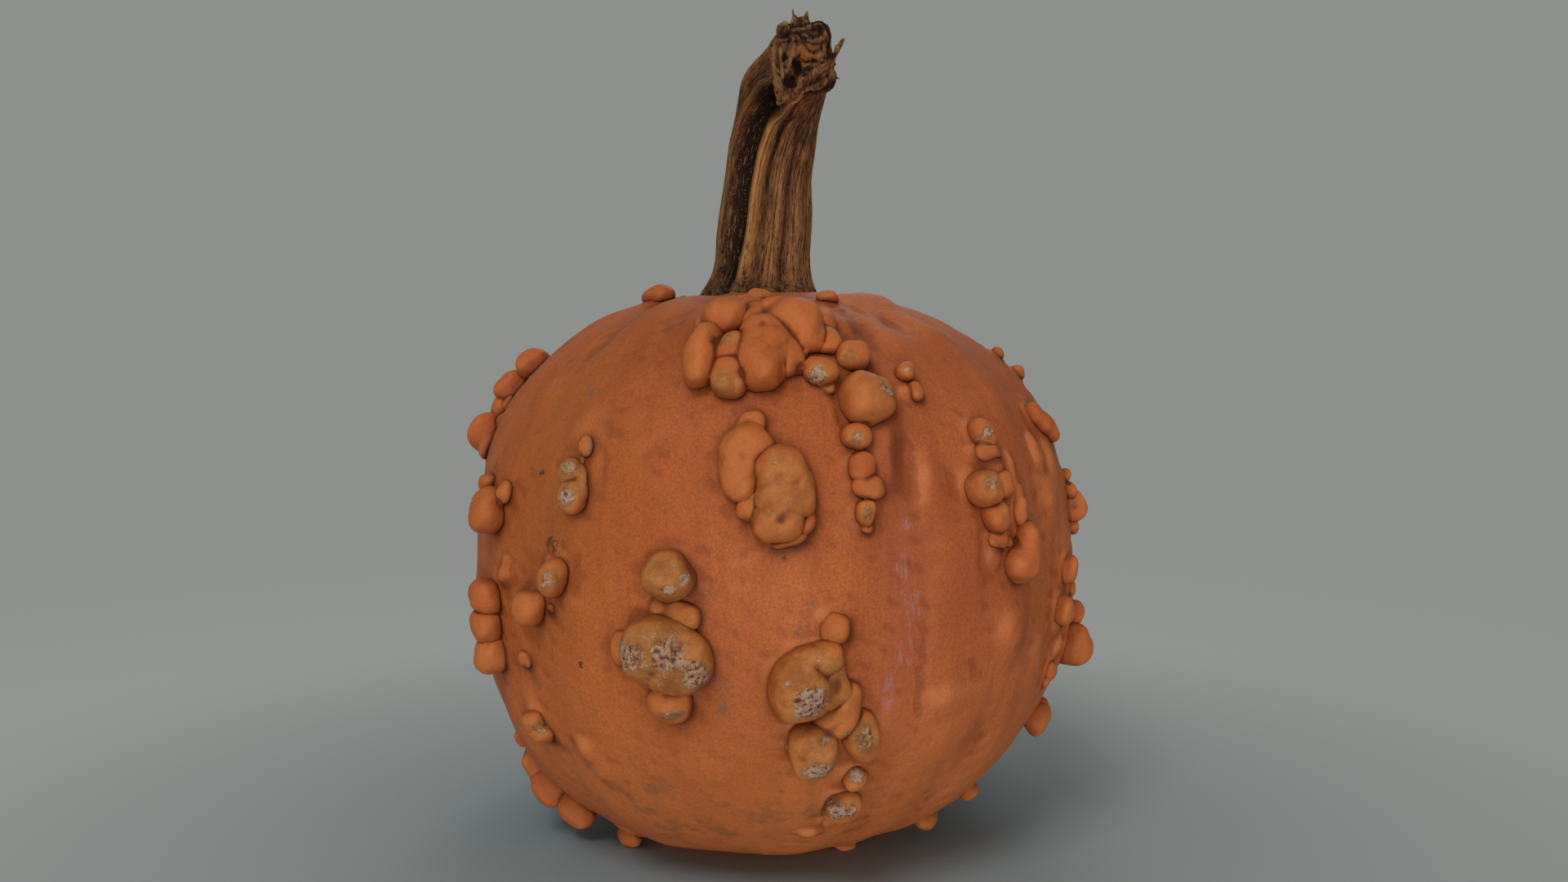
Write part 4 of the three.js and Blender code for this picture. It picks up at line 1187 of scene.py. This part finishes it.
def stem_finish():
    f = Finish("stem_bark")
    grain = f.stored("grain", "Vector")
    ridge, strand, up, out = f.stored("ridge"), f.stored("strand"), f.stored("up"), f.stored("out")
    streaks = f.noise(0.9, 6, 0.75, at=f.stretch(grain, (1, 1, 0.12)))
    threads = f.noise(3, 4, 0.7, at=f.stretch(grain, (1, 1, 0.08)))
    zones = f.noise(0.16, 3, 0.6, at=f.stretch(grain, (1, 1, 0.5)))
    f.base = f.mix(f.band(zones, 0.35, 0.65), colour(74, 40, 22), colour(130, 80, 45))
    f.coat(f.band(up, 0.66, 0.1, 0.5), 160, 108, 66)
    f.coat(f.times(f.stored("pale"), 0.6), 190, 134, 80)
    f.coat(f.band(streaks, 0.5, 0.62, 0.55), 176, 124, 74)
    f.coat(f.band(streaks, 0.49, 0.4, 0.8), 44, 24, 14)
    # painted shade in the grooves
    f.coat(f.times(f.stored("groove_shade"), 0.75), 44, 24, 14)
    f.coat(f.times(f.stored("shade"), 0.66), 50, 28, 17)
    f.coat(f.band(ridge, 0.12, 0.2, 0.35), 172, 120, 68)
    f.coat(f.times(f.stored("crest"), 0.85), 190, 130, 74)
    # painted shade in the cleft and between the ridges
    f.coat(f.band(ridge, 0.04, -0.08, 0.88), 26, 14, 8)
    f.coat(f.band(strand, -0.5, -1.7, 0.6), 28, 15, 9)
    f.coat(f.band(threads, 0.48, 0.39, 0.66), 28, 15, 9)
    f.coat(f.band(threads, 0.56, 0.66, 0.45), 186, 142, 96)
    # painted shade in hollows, and lighter where the bark stands out
    f.coat(f.band(out, -0.02, -0.12, 0.6), 26, 14, 8)
    f.coat(f.band(out, 0.05, 0.16, 0.4), 176, 130, 82)
    # a painted shadow under the bend
    shadow_under_bend = f.near((3.5, -22, 242), (8, 12, 9))
    f.coat(f.times(shadow_under_bend, 0.8), 22, 12, 7)

    # flecks toward the foot, and the ragged edge where it leaves the rind
    flecks = f.noise(1.5, 3, 0.65, at=f.stretch(grain, (1, 1, 0.2)))
    f.coat(f.times(f.band(flecks, 0.43, 0.36), f.band(up, 0.6, 0.2), 0.85), 28, 15, 9)
    f.coat(f.band(f.noise(1500, 3, 0.7), 0.6, 0.68, 0.4), 178, 134, 88)
    foot = f.band(up, 0.16, 0.03)
    f.coat(f.times(foot, 0.4), 38, 23, 15)
    f.coat(f.times(foot, f.band(f.noise(300, 4, 0.7), 0.44, 0.6), 0.5), 150, 114, 76)
    f.coat(f.times(foot, f.band(f.noise(420, 4, 0.75), 0.5, 0.4), 0.85), 28, 17, 11)
    return f.finish(0.8, f.plus(f.times(streaks, 1.5), threads), 0.7, 0.5, 0.1)


# Tints of the torn face: place, reach, strength and colour. The last three are alike.
DARK_END = ((6.5, 7, 5), 0.65, (46, 28, 17))
TORN_TINTS = [
    ((15, -33, 253.5), (6, 7, 4.5), 0.6, (176, 98, 50)),
    ((8, -31, 251), (4.6, 7, 12), 0.4, (168, 124, 82)),
    ((8.6, -29, 265.6), (3.4, 6, 2.6), 0.7, (180, 162, 100)),
    ((20.5, -29, 261.5), *DARK_END), ((20.5, -30, 243.6), *DARK_END), ((9.6, -30, 261), *DARK_END),
]


def torn_finish():
    f = Finish("stem_torn")
    out, deep = f.stored("out"), f.stored("deep")
    fibre = f.noise(480, 7, 0.78, 0.4, at=f.stretch(f.place, (1, 1, 0.5)))
    fibres = f.band(fibre, 0.38, 0.6)
    f.base = f.mix(fibres, colour(50, 29, 17), colour(136, 90, 54))
    for place, reach, amount, paint in TORN_TINTS:
        f.coat(f.times(f.near(place, reach), amount), *paint)
    # painted highlight on what stands out, painted shade in the hollows and creases
    f.coat(f.band(deep, 0.1, 0.4, 0.55), 160, 108, 66)
    f.coat(f.band(deep, 0, -0.26, 0.85), 32, 18, 10)
    f.coat(f.band(out, 0.02, 0.14, 0.55), 180, 130, 84)
    f.coat(f.band(out, -0.01, -0.09, 0.8), 28, 15, 9)
    f.coat(f.band(f.noise(1300, 3, 0.7), 0.46, 0.34, 0.5), 38, 22, 13)
    # a painted shadow beside each fold, a painted highlight on its crest, and painted shade in the pits
    fold = f.stored("fold")
    f.coat(f.times(f.band(fold, 1.1, 1.45), f.band(fold, 2.5, 1.7), 0.75), 30, 18, 11)
    f.coat(f.times(f.band(fold, 1.2, 0.5), fibres, 0.6), 176, 118, 70)
    f.coat(f.band(f.stored("pit"), 0.35, 1.2, 0.85), 30, 18, 11)
    return f.finish(0.85, f.plus(f.noise(900, 4, 0.7), f.times(fibre, 2.5)), 0.9, 0.6, 0.12)


def floor_finish():
    """Grey paper with a painted shadow under the squash, tinted cool at its middle, that fades into the
    backdrop.
    """
    f = Finish("floor_paper")
    f.shader.inputs["Roughness"].default_value = 0.95
    f.shader.inputs["Specular IOR Level"].default_value = 0
    away = f.length(f.place)
    # painted shadow: darker and cooler toward the squash
    f.base = f.mix(f.band(away, 0.02, 0.42), colour(160, 170, 172), colour(200, 204, 202))
    f.coat(f.band(away, 0.13, 0.06), 148, 166, 172)
    f.give(f.shader.inputs["Base Color"], f.base)
    clear = f.add("BsdfTransparent", {})["BSDF"]
    fade = f.add("MixShader", {"Fac": f.band(away, 0.25, 0.95), 1: f.shader.outputs["BSDF"], 2: clear})
    f.give(f.tree.nodes["Material Output"].inputs["Surface"], fade["Shader"])
    return f.material


# ---------------------------------------------------------------- the setting
def soft_light(name, place, size, watts, tint=(1, 1, 1), only=None):
    """A round lamp aimed at the squash, which lights only one collection where that is given."""
    bpy.ops.object.light_add(type="AREA", location=place)
    lamp = bpy.context.object
    lamp.name = name
    lamp.data.shape = "DISK"
    lamp.data.size = size
    lamp.data.energy = watts
    lamp.data.color = tint
    lamp.light_linking.receiver_collection = only
    lamp.light_linking.blocker_collection = only
    way = Vector(SQUASH_MIDDLE) - lamp.location
    lamp.rotation_euler = way.to_track_quat("-Z", "Y").to_euler()


def make_setting():
    bpy.ops.mesh.primitive_circle_add(vertices=96, radius=FLOOR_RADIUS, fill_type="NGON")
    floor = bpy.context.object
    floor.name = "floor"
    floor.data.materials.append(floor_finish())

    bpy.ops.object.camera_add(location=CAMERA_PLACE, rotation=(math.pi / 2, 0, 0))
    camera = bpy.context.object
    camera.data.sensor_width = 36
    camera.data.lens = CAMERA_LENS
    camera.data.clip_start = 0.01
    bpy.context.scene.camera = camera

    world = bpy.data.worlds.new("studio")
    bpy.context.scene.world = world
    world.use_nodes = True
    sky = world.node_tree.nodes["Background"]
    sky.inputs["Color"].default_value = colour(142, 144, 141)
    sky.inputs["Strength"].default_value = 1.0
    bpy.context.scene.view_settings.view_transform = "Standard"


def light(pieces):
    """A high key and a weak light behind, and a low frontal fill for the squash alone."""
    squash = bpy.data.collections.new("squash")
    for piece in pieces:
        squash.objects.link(piece)
    soft_light("key", (-0.5, -1.35, 1.55), 0.8, 12, tint=(1, 0.99, 0.97))
    soft_light("fill", (0.15, -1.9, -0.35), 0.9, 16, only=squash)
    soft_light("back", (0.2, 1.3, 1.3), 0.9, 3)


def dress():
    """The finished pieces, each riding and replacing its solid."""
    fruit = make_fruit()
    shaft, end = make_stem_shaft(), make_torn_end()
    knobs = knob_finish()
    pieces = [*fruit, shaft, end]
    for piece, finish, node, slot in (
            (fruit[0], skin_finish(), "fruit", "rind"), (fruit[1], knobs, "fruit", "rind"),
            (fruit[2], knobs, "fruit", "rind"), (shaft, stem_finish(), "stem", "stem"),
            (end, torn_finish(), "stem", "stem")):
        piece.data.materials.append(finish)
        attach(piece, "root")
        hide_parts(node)
    return pieces


deselect()
make_setting()
light(dress())
